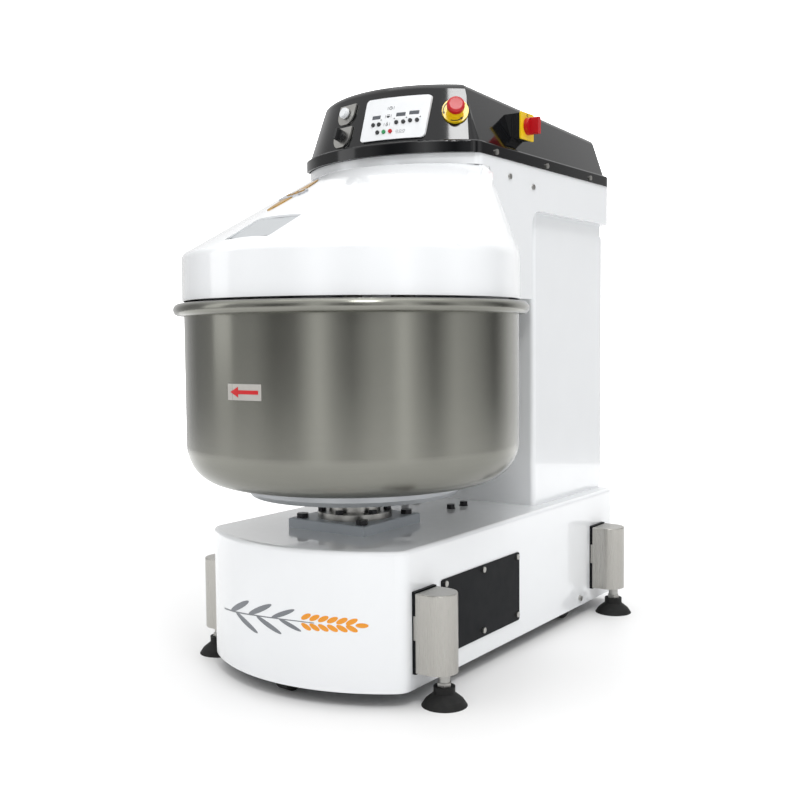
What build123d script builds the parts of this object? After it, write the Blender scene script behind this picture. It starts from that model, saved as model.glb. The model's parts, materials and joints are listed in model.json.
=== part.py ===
from build123d import *
import math
import os

# Floor-standing spiral dough mixer. Millimetres, +Z up, front towards -Y, floor at z = 0.
# Everything is drawn round the bowl's axis; save() moves it so that the origin is the
# middle of the footprint, on the floor.

# Driving dimensions
RIM_R = 400.0               # outside of the bowl's rolled rim
LENGTH = 1277.0             # front of the rim to the back of the top cover
BOWL_Y = RIM_R - LENGTH / 2
RUN_FIT = 0.05              # radial clearance of a shaft in its bore
HOLE_FIT = 0.4              # radial clearance of a bolt in its hole
SHEET = 4.0                 # painted sheet steel

# Base
BASE_W = 268.7              # half width
BASE_BACK = 845.9
BASE_Z0, BASE_Z1 = 31.3, 321.9
BASE_FRONT_R, BASE_FRONT_Y = 424.1, 141.7

# Column
COL_W = 227.3
COL_Y0, COL_Y1 = 445.4, 850.7
COL_COVER_Z0, COL_COVER_Z1 = 332.0, 1030.0
GLAND_X, GLAND_Z = 160.0, 372.0

# Head: fixed shell, neck under the cover, and the cover's flange
HEAD_W = 248.1
HEAD_BACK = 866.7
HEAD_Z0, NECK_Z, FLANGE_Z, COVER_Z = 1058.4, 1138.0, 1162.8, 1191.2
SKIRT_Z, SKIRT_BACK, SKIRT_ROUND = 842.0, 400.0, 35.0
FRONT_Y = 412.0             # centre of the arcs across the head's front
FLANGE_R, FLANGE_W, FLANGE_BACK = 370.0, 251.1, 876.9
BODY_INSET = 9.5            # cover wall behind the flange's edge
LEAN = 18.0                 # degrees that the cover's walls lean inwards
COVER_TOP, COVER_FALL = 1330.0, 2.85

# Bowl and its drive
BOWL_R, BOWL_WALL = 376.4, 3.0
BEAD_R, BEAD_Z = 13.9, 816.1
BOWL_FLOOR, BOWL_CORNER = 430.0, 88.0
DISC_R, DISC_Z, DISC_TOP = 243.0, 401.0, 425.0
PLATE_SIDE, PLATE_T = 215.4, 21.8
HUB_R, HUB_TOP = 59.0, 398.0
BOWL_SHAFT_R, BEARING_R = 30.0, 45.0
BOWL_BELT_Z, BOWL_PULLEY_R = 125.0, 170.0
BOWL_MOTOR_Y, BOWL_MOTOR_PULLEY_R = 500.0, 42.0
BELT_H, BELT_T = 26.0, 8.0

# Spiral and its drive
SPIRAL_Y, SPIRAL_R, ROD_R = 200.0, 132.0, 18.0
SPIRAL_SHAFT_R = BOWL_SHAFT_R
SPIRAL_BELT_Z, SPIRAL_PULLEY_R = 1078.0, 116.0
SPIRAL_MOTOR_Y, SPIRAL_MOTOR_PULLEY_R = 650.0, 50.0
BEAM_W, BEAM_Z0, BEAM_Z1 = 110.0, 945.0, 1050.0

# Hood
BAND_R, BAND_Z0, BAND_Z1 = 380.0, 835.0, 935.0
HOOD_TOP_Y, HOOD_TOP_CORNER, HOOD_TOP_SEAM = 25.0, 165.0, 190.0
RIDGE_TURN = math.radians(-15.7)    # where each ridge meets the band
POCKET_X, POCKET_Y = (-70.0, 52.0), (-336.0, -232.0)    # feed opening in the hood's slope
CHUTE_FRONT, CHUTE_DROP = -318.0, 26.0      # front edge of its inclined floor, below the slope
HINGE_Y, HINGE_Z, HINGE_X = 50.0, 1125.0, 70.0
PIN_R = 7.0

# Legs, feet and casters
LEG_X, LEG_Y = 320.5, (-122.0, 728.7)      # screw of each levelling foot
LEG_BACK, LEG_ROUND_X, LEG_R = 277.0, 308.5, 39.5   # D-shaped housing: flat back, round front
LEG_Z0, LEG_Z1 = 68.3, 233.6
TAB_X, TAB_Z0, TAB_Z1 = 271.0, 134.5, 186.5         # housing's tab in its bracket
PAD_R, STEM_R, COLLAR_R, COLLAR_Z = 47.8, 12.0, 22.5, 40.0
WHEEL_R, WHEEL_W = 40.0, 32.0
CASTER_FRONT_Y, CASTER_TRAIL = -205.0, 26.0
CASTER_REAR_X, CASTER_REAR_Y = 228.0, 590.0
WHEEL_Z = 3.0 + WHEEL_R

# Controls on the cover's front: (x, z) of each
PANEL_X, PANEL_Z = (-12.0, 145.0), (1199.0, 1299.0)
ESTOP_XZ, ESTOP_PLATE_R, MUSHROOM_R = (194.0, 1257.0), 30.0, 20.0
LAMP_XZ, SELECTOR_XZ = (-76.0, 1276.0), (-76.0, 1221.0)
SWITCH_Y, SWITCH_Z, SWITCH_SIDE = 352.0, 1250.0, 64.0
KEY_R, KEY_H = 4.6, 3.0
KEYS = {"key_1": (18, 1235), "key_2": (33, 1235), "key_3": (76, 1236), "key_4": (92, 1236),
        "key_5": (107, 1238), "key_6": (122, 1238), "key_7": (33, 1216),
        "start_key": (49, 1216), "stop_key": (65, 1216)}
WINDOWS = ((23, 1254), (84, 1256), (114, 1258))


def save(node, *shapes):
    solids = [Pos(0, BOWL_Y, 0) * s for shape in shapes for s in shape.solids()]
    body = Compound(children=solids) if len(solids) > 1 else solids[0]
    export_step(body, f"parts/{node}.step")


def cyl(r, z0, z1, x=0.0, y=0.0):
    return Pos(x, y, z0) * Cylinder(r, z1 - z0, align=(Align.CENTER, Align.CENTER, Align.MIN))


def cyl_x(r, x0, x1, y, z):
    return Pos(x0, y, z) * Rot(0, 90, 0) * Cylinder(
        r, x1 - x0, align=(Align.CENTER, Align.CENTER, Align.MIN))


def block(x0, x1, y0, y1, z0, z1):
    return Pos(x0, y0, z0) * Box(x1 - x0, y1 - y0, z1 - z0, align=(Align.MIN,) * 3)


def both_sides(shape):
    return [shape, mirror(shape, Plane.YZ)]


def hex_bolt(r, length, across, head, at):
    shape = cyl(r, -length, 0) + extrude(RegularPolygon(across / 2, 6, major_radius=False), head)
    return at * shape


def plan(front_r, centre_y, half_w, back, r_front, r_back):
    """Plan of a housing: an arc across the front, straight sides, rounded corners."""
    side_y = centre_y - math.sqrt(front_r ** 2 - half_w ** 2)
    front = ThreePointArc((-half_w, side_y), (0, centre_y - front_r), (half_w, side_y))
    rest = Polyline((half_w, side_y), (half_w, back), (-half_w, back), (-half_w, side_y))
    face = make_face(Curve() + [front, rest])
    front_corners = [v for v in face.vertices() if abs(v.Y - side_y) < 1]
    face = fillet(front_corners, r_front)
    back_corners = [v for v in face.vertices() if abs(v.Y - back) < 1]
    return fillet(back_corners, r_back)


def slab(face, z0, z1):
    return extrude(Pos(0, 0, z0) * face, z1 - z0)


def belt_loop(y0, r0, y1, r1, thick, z0, height):
    """A closed flat belt round two vertical pulleys on the line x = 0."""
    def hull(extra):
        a, b, gap = r0 + extra, r1 + extra, y1 - y0
        tilt = math.asin((a - b) / gap)
        c, s = math.cos(tilt), math.sin(tilt)
        first, last = (a * c, y0 + a * s), (b * c, y1 + b * s)
        edges = [Line(first, last), ThreePointArc(last, (0, y1 + b), (-last[0], last[1])),
                 Line((-last[0], last[1]), (-first[0], first[1])),
                 ThreePointArc((-first[0], first[1]), (0, y0 - a), first)]
        return slab(make_face(Curve() + edges), z0, z0 + height)
    return hull(thick) - hull(0)


def pulley(r, z0, bore, y, ribs=3):
    """A pulley with rims above and below the belt and round lightening holes in the web."""
    wheel = cyl(r, z0, z0 + BELT_H + 2, 0, y)
    rim = BELT_T + 5
    for z in (z0 - 5, z0 + BELT_H + 2):
        wheel += cyl(r + rim, z, z + 5, 0, y)
    if r > 80:
        web = cyl(r - 14, z0 - 5, z0 + 4, 0, y) - cyl(bore + 22, z0 - 5, z0 + 4, 0, y)
        top = cyl(r - 14, z0 + 18, z0 + BELT_H + 7, 0, y)
        top -= cyl(bore + 22, z0 + 18, z0 + BELT_H + 7, 0, y)
        wheel = wheel - web - top
        middle = (r - 14 + bore + 22) / 2
        for step in range(ribs * 2):
            turn = math.radians(step * 180 / ribs)
            wheel -= cyl(18, z0, z0 + 20, middle * math.cos(turn), y + middle * math.sin(turn))
    return wheel - cyl(bore, z0 - 6, z0 + BELT_H + 8, 0, y)


# ---------------------------------------------------------------- base and frame

def bowl_bolt_spots():
    return [(sx * 85, sy * 85) for sx in (-1, 1) for sy in (-1, 1)]


PANEL_SCREWS = [(y, z) for z in (89, 228) for y in (-39, 119, 276)]
SIDE_PANEL = (-53.0, 288.0, 74.0, 238.0)
EARTH_BOLT = (627.0, 52.0)
FRAME_HOLE = (-185.0, 185.0, 470.0, 820.0)


def make_base():
    face = plan(BASE_FRONT_R, BASE_FRONT_Y, BASE_W, BASE_BACK, 40, 25)
    shell = slab(face, BASE_Z0, BASE_Z1)
    shell = fillet(shell.faces().sort_by(Axis.Z)[-1].edges(), 9)
    shell -= slab(offset(face, -SHEET), BASE_Z0 - 1, BASE_Z1 - SHEET)
    shell -= cyl(HUB_R + 1, 300, 330)
    for x, y in bowl_bolt_spots():
        shell -= cyl(8 + HOLE_FIT, 300, 330, x, y)
    x0, x1, y0, y1 = FRAME_HOLE
    shell -= block(x0, x1, y0, y1, 300, 330)
    y0, y1, z0, z1 = SIDE_PANEL
    shell -= block(BASE_W - 10, BASE_W + 10, y0 + 25, y1 - 25, z0 + 25, z1 - 25)
    for y, z in PANEL_SCREWS:
        shell -= cyl_x(3 + HOLE_FIT, BASE_W - 10, BASE_W + 10, y, z)
    shell -= cyl_x(4 + HOLE_FIT, BASE_W - 10, BASE_W + 10, *EARTH_BOLT)
    save("base_shell", shell)

    panel = block(BASE_W, BASE_W + 3, y0, y1, z0, z1)
    panel = fillet(panel.edges().filter_by(Axis.X), 6)
    for y, z in PANEL_SCREWS:
        panel -= cyl_x(3 + HOLE_FIT, BASE_W - 1, BASE_W + 10, y, z)
    save("side_panel", panel)


def make_frame():
    top = BASE_Z1 - SHEET
    rail_in, rail_out, rail_z = 165.0, 215.0, 258.0
    frame = block(-rail_out, -rail_in, -190, 825, rail_z, top)
    frame += block(rail_in, rail_out, -190, 825, rail_z, top)
    cross = block(-rail_in, rail_in, -120, 120, top - 16, top)
    cross += block(-rail_in, rail_in, 385, 405, rail_z, top)
    cross += block(-rail_in, rail_in, 790, 825, rail_z, top)
    frame += cross - cyl(HUB_R + 1, 250, 330)
    for x, y in bowl_bolt_spots():
        frame -= cyl(8 + HOLE_FIT, 290, 330, x, y)
    for y in LEG_Y:
        leg = block(214, BASE_W - SHEET, y - 35, y + 35, 70, top)
        leg += block(rail_out, BASE_W - SHEET, y - 35, y + 35, rail_z, top)
        for post in both_sides(leg):
            frame += post
    # hanger of the bowl motor
    my = BOWL_MOTOR_Y
    hanger = block(-106, 106, my - 90, my + 90, 163, 169) - cyl(30, 160, 170, 0, my)
    for wall in both_sides(block(100, 106, my - 90, my + 90, 169, rail_z)):
        hanger += wall
    for lip in both_sides(block(100, rail_in + 10, my - 90, my + 90, rail_z - 6, rail_z)):
        hanger += lip
    frame += hanger
    # caster seats
    frame += block(-60, 60, CASTER_FRONT_Y - 45, -165, 111, 117)
    for lug in both_sides(block(54, 60, CASTER_FRONT_Y - 45, -190, 117, top)):
        frame += lug
    for tie in both_sides(block(54, rail_out, -195, -165, top - 40, top)):
        frame += tie
    frame -= cyl(12 + RUN_FIT, 105, 120, 0, CASTER_FRONT_Y)
    for pad in both_sides(block(rail_in + 8, 250, CASTER_REAR_Y - 50, CASTER_REAR_Y + 50, 104, 110)):
        frame += pad
    for hang in both_sides(block(rail_in + 8, rail_in + 14, CASTER_REAR_Y - 50,
                                 CASTER_REAR_Y + 50, 110, rail_z + 1)):
        frame += hang
    # uprights inside the column, up to the head beam
    for upright in both_sides(block(120, 170, 480, 540, top - 30, BEAM_Z1)):
        frame += upright
    for upright in both_sides(block(120, 170, 740, 800, top - 30, BEAM_Z1)):
        frame += upright
    for tie in both_sides(block(170, rail_in + 20, 480, 800, top - 30, top)):
        frame += tie
    frame += block(-170, 170, 740, 800, 560, 600)
    save("main_frame", frame)


def make_side_screws():
    """Button-head screws of the side panel, head shell and cover flange, and the earth bolt."""
    def screw(x, y, z):
        return cyl_x(3, x - 8, x, y, z) + cyl_x(6.5, x, x + 4, y, z)
    panel = [screw(BASE_W + 3, y, z) for y, z in PANEL_SCREWS]
    head = [s for y, z in HEAD_SCREWS for s in both_sides(screw(HEAD_W, y, z))]
    flange = [s for y in FLANGE_SCREWS for s in both_sides(screw(FLANGE_W, y, 1173))]
    y, z = EARTH_BOLT
    earth = Pos(BASE_W, y, z) * Rot(0, 90, 0) * hex_bolt(4, 14, 13, 6, Pos(0, 0, 0))
    save("housing_screws", *panel, *head, *flange, earth)


def make_locknuts():
    nuts = []
    for y in LEG_Y:
        nut = slab(RegularPolygon(18, 6, major_radius=False), LEG_Z0 - 3, LEG_Z0 + 12)
        nuts += both_sides(Pos(LEG_X, y, 0) * nut - cyl(STEM_R + RUN_FIT, 60, 90, LEG_X, y))
    return nuts


def make_legs():
    housings, brackets = [], []
    for y in LEG_Y:
        def d_section(r, top):
            flat = LEG_BACK + LEG_R - r
            front = (cyl(r, LEG_Z0, top, LEG_ROUND_X, y)
                     & block(flat, LEG_ROUND_X + r, y - r, y + r, LEG_Z0, top))
            return front + block(flat, LEG_ROUND_X, y - r, y + r, LEG_Z0, top)
        hull = d_section(LEG_R, LEG_Z1)
        hull = fillet(hull.faces().sort_by(Axis.Z)[-1].edges(), 2.5)
        hull -= d_section(LEG_R - 4, LEG_Z1 - 5)
        hull += block(LEG_BACK + 3, LEG_X + 20, y - 20, y + 20, LEG_Z0 + 12, LEG_Z0 + 32)
        hull += block(TAB_X, LEG_BACK + 1, y - LEG_R + 1, y - 10, TAB_Z0 + 1, TAB_Z1 - 1)
        hull -= cyl(STEM_R + RUN_FIT, 60, 200, LEG_X, y)
        housings += both_sides(hull)
        bracket = block(BASE_W, LEG_BACK, y - LEG_R, y + LEG_R, 65, 236)
        bracket -= block(TAB_X, LEG_BACK + 1, y - LEG_R - 1, y - 9, TAB_Z0, TAB_Z1)
        brackets += both_sides(bracket)
    save("leg_housings", *housings)
    save("leg_brackets", *brackets)
    for side, sx in (("left", -1), ("right", 1)):
        for end, y in (("front", LEG_Y[0]), ("rear", LEG_Y[1])):
            x = sx * LEG_X
            pad = Cone(PAD_R, PAD_R - 8, 12, align=(Align.CENTER, Align.CENTER, Align.MIN))
            pad = Pos(x, y, 0) * pad + Pos(x, y, 12) * Cone(
                PAD_R - 8, COLLAR_R, 14, align=(Align.CENTER, Align.CENTER, Align.MIN))
            pad += cyl(COLLAR_R, 26, COLLAR_Z, x, y)
            stem = cyl(STEM_R, COLLAR_Z, 215, x, y)
            flats = slab(RegularPolygon(13.5, 6, major_radius=False), COLLAR_Z, COLLAR_Z + 8)
            stem += Pos(x, y, 0) * flats
            save(f"{end}_{side}_foot", pad, stem)


def make_casters():
    y, z = CASTER_FRONT_Y, WHEEL_Z
    wheel_y = y - CASTER_TRAIL
    cheek = WHEEL_W / 2 + 1
    fork = block(-cheek - 4, cheek + 4, y - 30, y + 24, 100, 104) + cyl(26, 104, 110, 0, y)
    fork += cyl(12, 110, 125, 0, y)
    for side in both_sides(block(cheek, cheek + 4, wheel_y - 12, y + 24, z + 12, 100)
                           + block(cheek, cheek + 4, wheel_y - 12, wheel_y + 12, z - 12, z + 13)):
        fork += side
    fork += cyl_x(5, -cheek - 8, cheek + 8, wheel_y, z)
    save("front_caster_fork", fork)
    tyre = cyl_x(WHEEL_R, -WHEEL_W / 2, WHEEL_W / 2, 0, 0)
    tyre = fillet(tyre.edges(), 5) - cyl_x(5 + RUN_FIT, -20, 20, 0, 0)
    save("front_caster_wheel", Pos(0, wheel_y, z) * tyre)
    brackets = []
    for side, sx in (("left", -1), ("right", 1)):
        x = sx * CASTER_REAR_X
        save(f"rear_{side}_caster_wheel", Pos(x, CASTER_REAR_Y, z) * tyre)
        yoke = block(-cheek - 4, cheek + 4, -34, 34, 98, 104)
        for half in both_sides(block(cheek, cheek + 4, -24, 24, z - 12, 98)):
            yoke += half
        yoke += cyl_x(5, -cheek - 8, cheek + 8, 0, z)
        brackets.append(Pos(x, CASTER_REAR_Y, 0) * yoke)
    save("rear_caster_brackets", *brackets)


# ---------------------------------------------------------------- bowl and its drive

def make_bowl_drive():
    half = PLATE_SIDE / 2
    z0 = BASE_Z1
    plate = block(-half, half, -half, half, z0, z0 + PLATE_T)
    plate = chamfer(plate.faces().sort_by(Axis.Z)[-1].edges(), 2)
    plate -= cyl(HUB_R - 6, z0 - 1, z0 + 40)
    bolts = []
    for x, y in bowl_bolt_spots():
        plate -= cyl(8 + HOLE_FIT, z0 - 1, z0 + 40, x, y)
        bolts.append(hex_bolt(8, 60, 24, 10, Pos(x, y, z0 + PLATE_T)))
    ring = [(75 * math.cos(math.radians(a)), 75 * math.sin(math.radians(a)))
            for a in range(40, 400, 60)]
    # Two bolts of the column's base flange stand in front of the column.
    foot_bolts = [(70, 302), (73, 358), (-70, 302), (-73, 358)]
    for x, y in foot_bolts:
        bolts.append(cyl(11, z0, z0 + 2, x, y)
                     + Pos(x, y, 0) * slab(RegularPolygon(9.5, 6, major_radius=False),
                                           z0 + 2, z0 + 11))
    save("bowl_bearing_plate", plate)

    seat = z0 + PLATE_T
    hub = cyl(HUB_R + 26, seat, seat + 14) + cyl(HUB_R, seat, HUB_TOP)
    hub += cyl(HUB_R - 6, 235, seat)
    hub -= cyl(BEARING_R, 247, HUB_TOP + 1) + cyl(BOWL_SHAFT_R + 8, 230, 250)
    for x, y in ring:
        hub -= cyl(5 + HOLE_FIT, seat - 1, seat + 20, x, y)
        bolts.append(hex_bolt(5, 14, 17, 8, Pos(x, y, seat + 14)))
    save("bowl_bearing_housing", hub)
    save("base_fasteners", *bolts, *make_locknuts())

    shaft = cyl(BOWL_SHAFT_R, BOWL_BELT_Z - 8, DISC_Z) + cyl(52, HUB_TOP + 1, DISC_Z)
    save("bowl_shaft", shaft)
    save("bowl_pulley", pulley(BOWL_PULLEY_R, BOWL_BELT_Z, BOWL_SHAFT_R, 0))
    # The disc's rim is upright, over a bevel that faces down.
    disc = cyl(DISC_R, DISC_Z + 10, DISC_TOP)
    disc += Pos(0, 0, DISC_Z) * Cone(DISC_R - 8, DISC_R, 10,
                                     align=(Align.CENTER, Align.CENTER, Align.MIN))
    disc = fillet(disc.edges().group_by(Axis.Z)[-1], 2)
    save("bowl_support_disc", disc + cyl(120, DISC_TOP, BOWL_FLOOR))

    my = BOWL_MOTOR_Y
    motor = cyl(75, 169, 305, 0, my) + cyl(82, 169, 181, 0, my)
    for step in range(24):
        turn = step * 15
        motor += Pos(0, my, 185) * Rot(0, 0, turn) * Pos(78, 0, 50) * Box(8, 3, 100)
    motor -= cyl(12 + RUN_FIT, 160, 200, 0, my)
    save("bowl_motor", motor)
    drive = pulley(BOWL_MOTOR_PULLEY_R, BOWL_BELT_Z, 5, my) + cyl(12, BOWL_BELT_Z, 199, 0, my)
    save("bowl_motor_pulley", drive)
    belt = belt_loop(0, BOWL_PULLEY_R + 0.4, my, BOWL_MOTOR_PULLEY_R + 0.4, BELT_T,
                     BOWL_BELT_Z + 1, BELT_H)
    save("bowl_belt", belt)


def make_bowl():
    wall_in, floor_in = BOWL_R - BOWL_WALL, BOWL_FLOOR + BOWL_WALL
    bend_z = BOWL_FLOOR + BOWL_CORNER
    bend_r = BOWL_R - BOWL_CORNER
    small = BOWL_CORNER - BOWL_WALL
    k = math.sqrt(0.5)
    outline = Polyline((0, floor_in), (0, BOWL_FLOOR), (bend_r, BOWL_FLOOR))
    outer = ThreePointArc((bend_r, BOWL_FLOOR),
                          (bend_r + BOWL_CORNER * k, bend_z - BOWL_CORNER * k), (BOWL_R, bend_z))
    sides = Polyline((BOWL_R, bend_z), (BOWL_R, BEAD_Z), (wall_in, BEAD_Z), (wall_in, bend_z))
    inner = ThreePointArc((wall_in, bend_z),
                          (bend_r + small * k, bend_z - small * k), (bend_r, floor_in))
    closing = Line((bend_r, floor_in), (0, floor_in))
    face = make_face(Curve() + [outline, outer, sides, inner, closing])
    bowl = revolve(Plane.XZ * face, Axis.Z)
    bead = Pos(0, 0, BEAD_Z) * Torus(RIM_R - BEAD_R, BEAD_R)
    save("bowl", bowl + bead)


# ---------------------------------------------------------------- spiral and its drive

def bend_radii(points):
    """The largest even bend at each inner point of a route of straight runs."""
    radii = []
    for before, here, after in zip(points, points[1:], points[2:]):
        half_turn = math.radians((here - before).get_angle(after - here)) / 2
        radii.append(0.45 * min((here - before).length, (after - here).length) / math.tan(half_turn))
    return radii


def make_spiral():
    y = SPIRAL_Y
    top, bottom, turns, steps = 782.0, 478.0, 1.55, 18
    tuck = 0.24     # how far the last turn draws in, to follow the bowl's rounded corner
    points = []
    for i in range(steps + 1):
        part = i / steps
        angle = -turns * 2 * math.pi * part
        spread = 1 - 0.85 * (1 - min(part / 0.3, 1)) ** 2 - tuck * max(part - 0.8, 0) / 0.2
        points.append(Vector(spread * SPIRAL_R * math.cos(angle), spread * SPIRAL_R * math.sin(angle),
                             top + (bottom - top) * part))
    path = FilletPolyline(*points, radius=bend_radii(points))
    hook = sweep(Plane(path @ 0, z_dir=path % 0) * Circle(ROD_R), path=path)
    tip = path @ 1
    hook += Pos(tip.X, tip.Y, tip.Z) * Sphere(ROD_R)
    tool = Pos(0, y, 0) * hook + cyl(SPIRAL_SHAFT_R, 772, SPIRAL_BELT_Z + 40, 0, y)
    save("spiral_tool", tool)

    housing = cyl(75, 905, BEAM_Z1 + 6, 0, y) + cyl(96, 925, BEAM_Z0, 0, y)
    housing -= cyl(BEARING_R, 915, BEAM_Z1 + 7, 0, y) + cyl(SPIRAL_SHAFT_R + 3, 900, 920, 0, y)
    save("spiral_bearing_housing", housing)
    spots = [(0, 247, 25), (0, HUB_TOP - 27, 25), (y, 915, 30), (y, BEAM_Z1 - 24, 30)]
    save("drive_bearings", *[cyl(BEARING_R, z, z + high, 0, at)
                             - cyl(BOWL_SHAFT_R + RUN_FIT, z - 1, z + high + 1, 0, at)
                             for at, z, high in spots])
    save("spiral_pulley", pulley(SPIRAL_PULLEY_R, SPIRAL_BELT_Z, SPIRAL_SHAFT_R, y))

    bar = cyl(22, 470, BEAM_Z0, 0, 0) + Pos(0, 0, 470) * Sphere(22)
    bar += cyl(38, BEAM_Z0 - 12, BEAM_Z0, 0, 0)
    save("breaker_bar", bar)

    my = SPIRAL_MOTOR_Y
    motor = cyl(100, 650, 985, 0, my) + cyl(115, 985, 1000, 0, my) + cyl(104, 620, 650, 0, my)
    for step in range(24):
        motor += Pos(0, my, 820) * Rot(0, 0, step * 15) * Pos(103, 0, 0) * Box(10, 4, 290)
    motor += block(-45, 45, my + 95, my + 135, 760, 860)
    motor -= cyl(19 + RUN_FIT, 950, 1010, 0, my)
    save("spiral_motor", motor)
    drive = pulley(SPIRAL_MOTOR_PULLEY_R, SPIRAL_BELT_Z, 5, my)
    drive += cyl(19, 952, SPIRAL_BELT_Z + 30, 0, my)
    save("spiral_motor_pulley", drive)
    belt = belt_loop(y, SPIRAL_PULLEY_R + 0.4, my, SPIRAL_MOTOR_PULLEY_R + 0.4, BELT_T,
                     SPIRAL_BELT_Z + 1, BELT_H)
    save("spiral_belt", belt)


def make_head_beam():
    """Welded box beam from the column frame, with the belt tray on top of it."""
    beam = block(-BEAM_W, BEAM_W, -45, 480, BEAM_Z0, BEAM_Z1)
    beam = fillet(beam.edges().filter_by(Axis.Z).sort_by(Axis.Y)[:2], 40)
    beam -= block(-BEAM_W + 12, BEAM_W - 12, 320, 470, BEAM_Z0 - 1, BEAM_Z1 - 12)
    beam -= cyl(75, 900, 1060, 0, SPIRAL_Y)
    seat = block(-170, 170, 480, 800, 1000, 1010)
    seat += block(-120, 120, 480, 540, 1010, BEAM_Z1)
    seat += block(-120, 120, 480, 490, BEAM_Z0, 1010)
    for end in both_sides(block(120, 170, 480, 540, 1000, BEAM_Z1)
                          + block(120, 170, 740, 800, 1000, BEAM_Z1)):
        seat -= end
    seat -= cyl(25, 990, 1020, 0, SPIRAL_MOTOR_Y)
    beam += seat
    tray_r, tray_top = 136.0, 1134.0
    outer = cyl(tray_r, BEAM_Z1, tray_top, 0, SPIRAL_Y)
    outer += block(-tray_r, tray_r, SPIRAL_Y, 394, BEAM_Z1, tray_top)
    inner = cyl(tray_r - 3, BEAM_Z1 + 4, tray_top + 1, 0, SPIRAL_Y)
    inner += block(-tray_r + 3, tray_r - 3, SPIRAL_Y, 400, BEAM_Z1 + 4, tray_top + 1)
    tray = outer - inner - cyl(75, 1040, 1060, 0, SPIRAL_Y)
    save("head_beam", beam + tray)


# ---------------------------------------------------------------- column and head

HEAD_SCREWS = [(286, 1126), (402, 1114)]
FLANGE_SCREWS = [218, 470, 722]


def make_column():
    z0, z1 = BASE_Z1, HEAD_Z0
    shell = block(-COL_W, COL_W, COL_Y0, COL_Y1, z0, z1)
    shell = fillet(shell.edges().filter_by(Axis.Z), 12)
    w = COL_W - SHEET
    shell -= block(-w, w, COL_Y0 + SHEET, COL_Y1 - SHEET, z0 - 1, z1 + 1)
    shell -= block(-w + 30, w - 30, COL_Y1 - 10, COL_Y1 + 1, z0 + 40, z1 - 40)
    shell -= block(-BEAM_W - 14, BEAM_W + 14, COL_Y0 - 1, COL_Y0 + 10, BEAM_Z0 - 14, z1 + 1)
    save("column_shell", shell)
    cover = block(-w, w, COL_Y1, COL_Y1 + 9, COL_COVER_Z0, COL_COVER_Z1)
    cover = fillet(cover.edges().filter_by(Axis.Y), 10)
    cover -= block(-w + 4, w - 4, COL_Y1 - 1, COL_Y1 + 6, COL_COVER_Z0 + 4, COL_COVER_Z1 - 4)
    for row in range(8):
        z = 380 + row * 16
        cover -= block(-70, 70, COL_Y1 + 5, COL_Y1 + 10, z, z + 7)
    gland = slab(RegularPolygon(13, 6, major_radius=False), 0, 5) + cyl(11, 5, 12) - cyl(6, 3, 13)
    save("column_rear_cover", cover, Pos(GLAND_X, COL_Y1 + 9, GLAND_Z) * Rot(-90, 0, 0) * gland)
    box = block(-130, 130, 812, 842, 380, 540) - block(-126, 126, 810, 838, 384, 536)
    lid = block(-130, 130, 809, 812, 380, 540)
    gear = [block(x, x + 40, 815, 838, 430, 500) for x in (-110, -60, -10, 40)]
    save("electrical_box", box, lid, *gear)


def make_head_shell():
    face = plan(FLANGE_R - BODY_INSET, FRONT_Y, HEAD_W, HEAD_BACK, 30, 30)
    upper = slab(face, HEAD_Z0, FLANGE_Z)
    skirt = block(-HEAD_W, HEAD_W, 150, SKIRT_BACK + SKIRT_ROUND, SKIRT_Z, HEAD_Z0)
    skirt -= block(-260, 260, SKIRT_BACK, 500, SKIRT_Z - 1, HEAD_Z0 - SKIRT_ROUND)
    skirt -= cyl_x(SKIRT_ROUND, -260, 260, SKIRT_BACK + SKIRT_ROUND, HEAD_Z0 - SKIRT_ROUND)
    shell = upper + skirt
    inside = offset(face, -SHEET)
    shell -= slab(inside, HEAD_Z0 + SHEET, FLANGE_Z + 1)
    shell -= block(-HEAD_W + SHEET, HEAD_W - SHEET, 100, SKIRT_BACK - SHEET, SKIRT_Z - 1,
                   HEAD_Z0 + SHEET + 1)
    # the hood closes everything in front of this seam, up to the neck
    gap = 2.0
    seam = Polyline((HOOD_TOP_SEAM + gap, NECK_Z), (288 + gap, BAND_Z1), (288 + gap, SKIRT_Z - 5),
                    (0, SKIRT_Z - 5), (0, NECK_Z), close=True)
    shell -= extrude(Plane.YZ * make_face(seam), 300, both=True)
    w = COL_W - SHEET
    shell -= block(-w, w, COL_Y0 + SHEET, COL_Y1 - SHEET, HEAD_Z0 - 1, HEAD_Z0 + SHEET + 1)
    shell -= block(-BEAM_W - 30, BEAM_W + 30, 390, COL_Y0 + 10, BEAM_Z0 - 14, 1140) & \
        block(-300, 300, 380, 470, BEAM_Z0 - 14, HEAD_Z0 + SHEET + 1)
    for y, z in HEAD_SCREWS:
        for hole in both_sides(cyl_x(3 + HOLE_FIT, HEAD_W - 10, HEAD_W + 5, y, z)):
            shell -= hole
    save("head_shell", shell)


def cover_face(extra=0.0):
    return plan(FLANGE_R - BODY_INSET + extra, FRONT_Y, FLANGE_W - BODY_INSET + extra,
                FLANGE_BACK - BODY_INSET + extra, 34 + extra, 45 + extra)


def cover_body(extra, base, top):
    body = extrude(Pos(0, 0, base) * cover_face(extra), 160, taper=LEAN)
    knife = Pos(0, 90, top) * Rot(-COVER_FALL, 0, 0) * Box(
        900, 2400, 400, align=(Align.CENTER, Align.CENTER, Align.MIN))
    return body - knife


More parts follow.
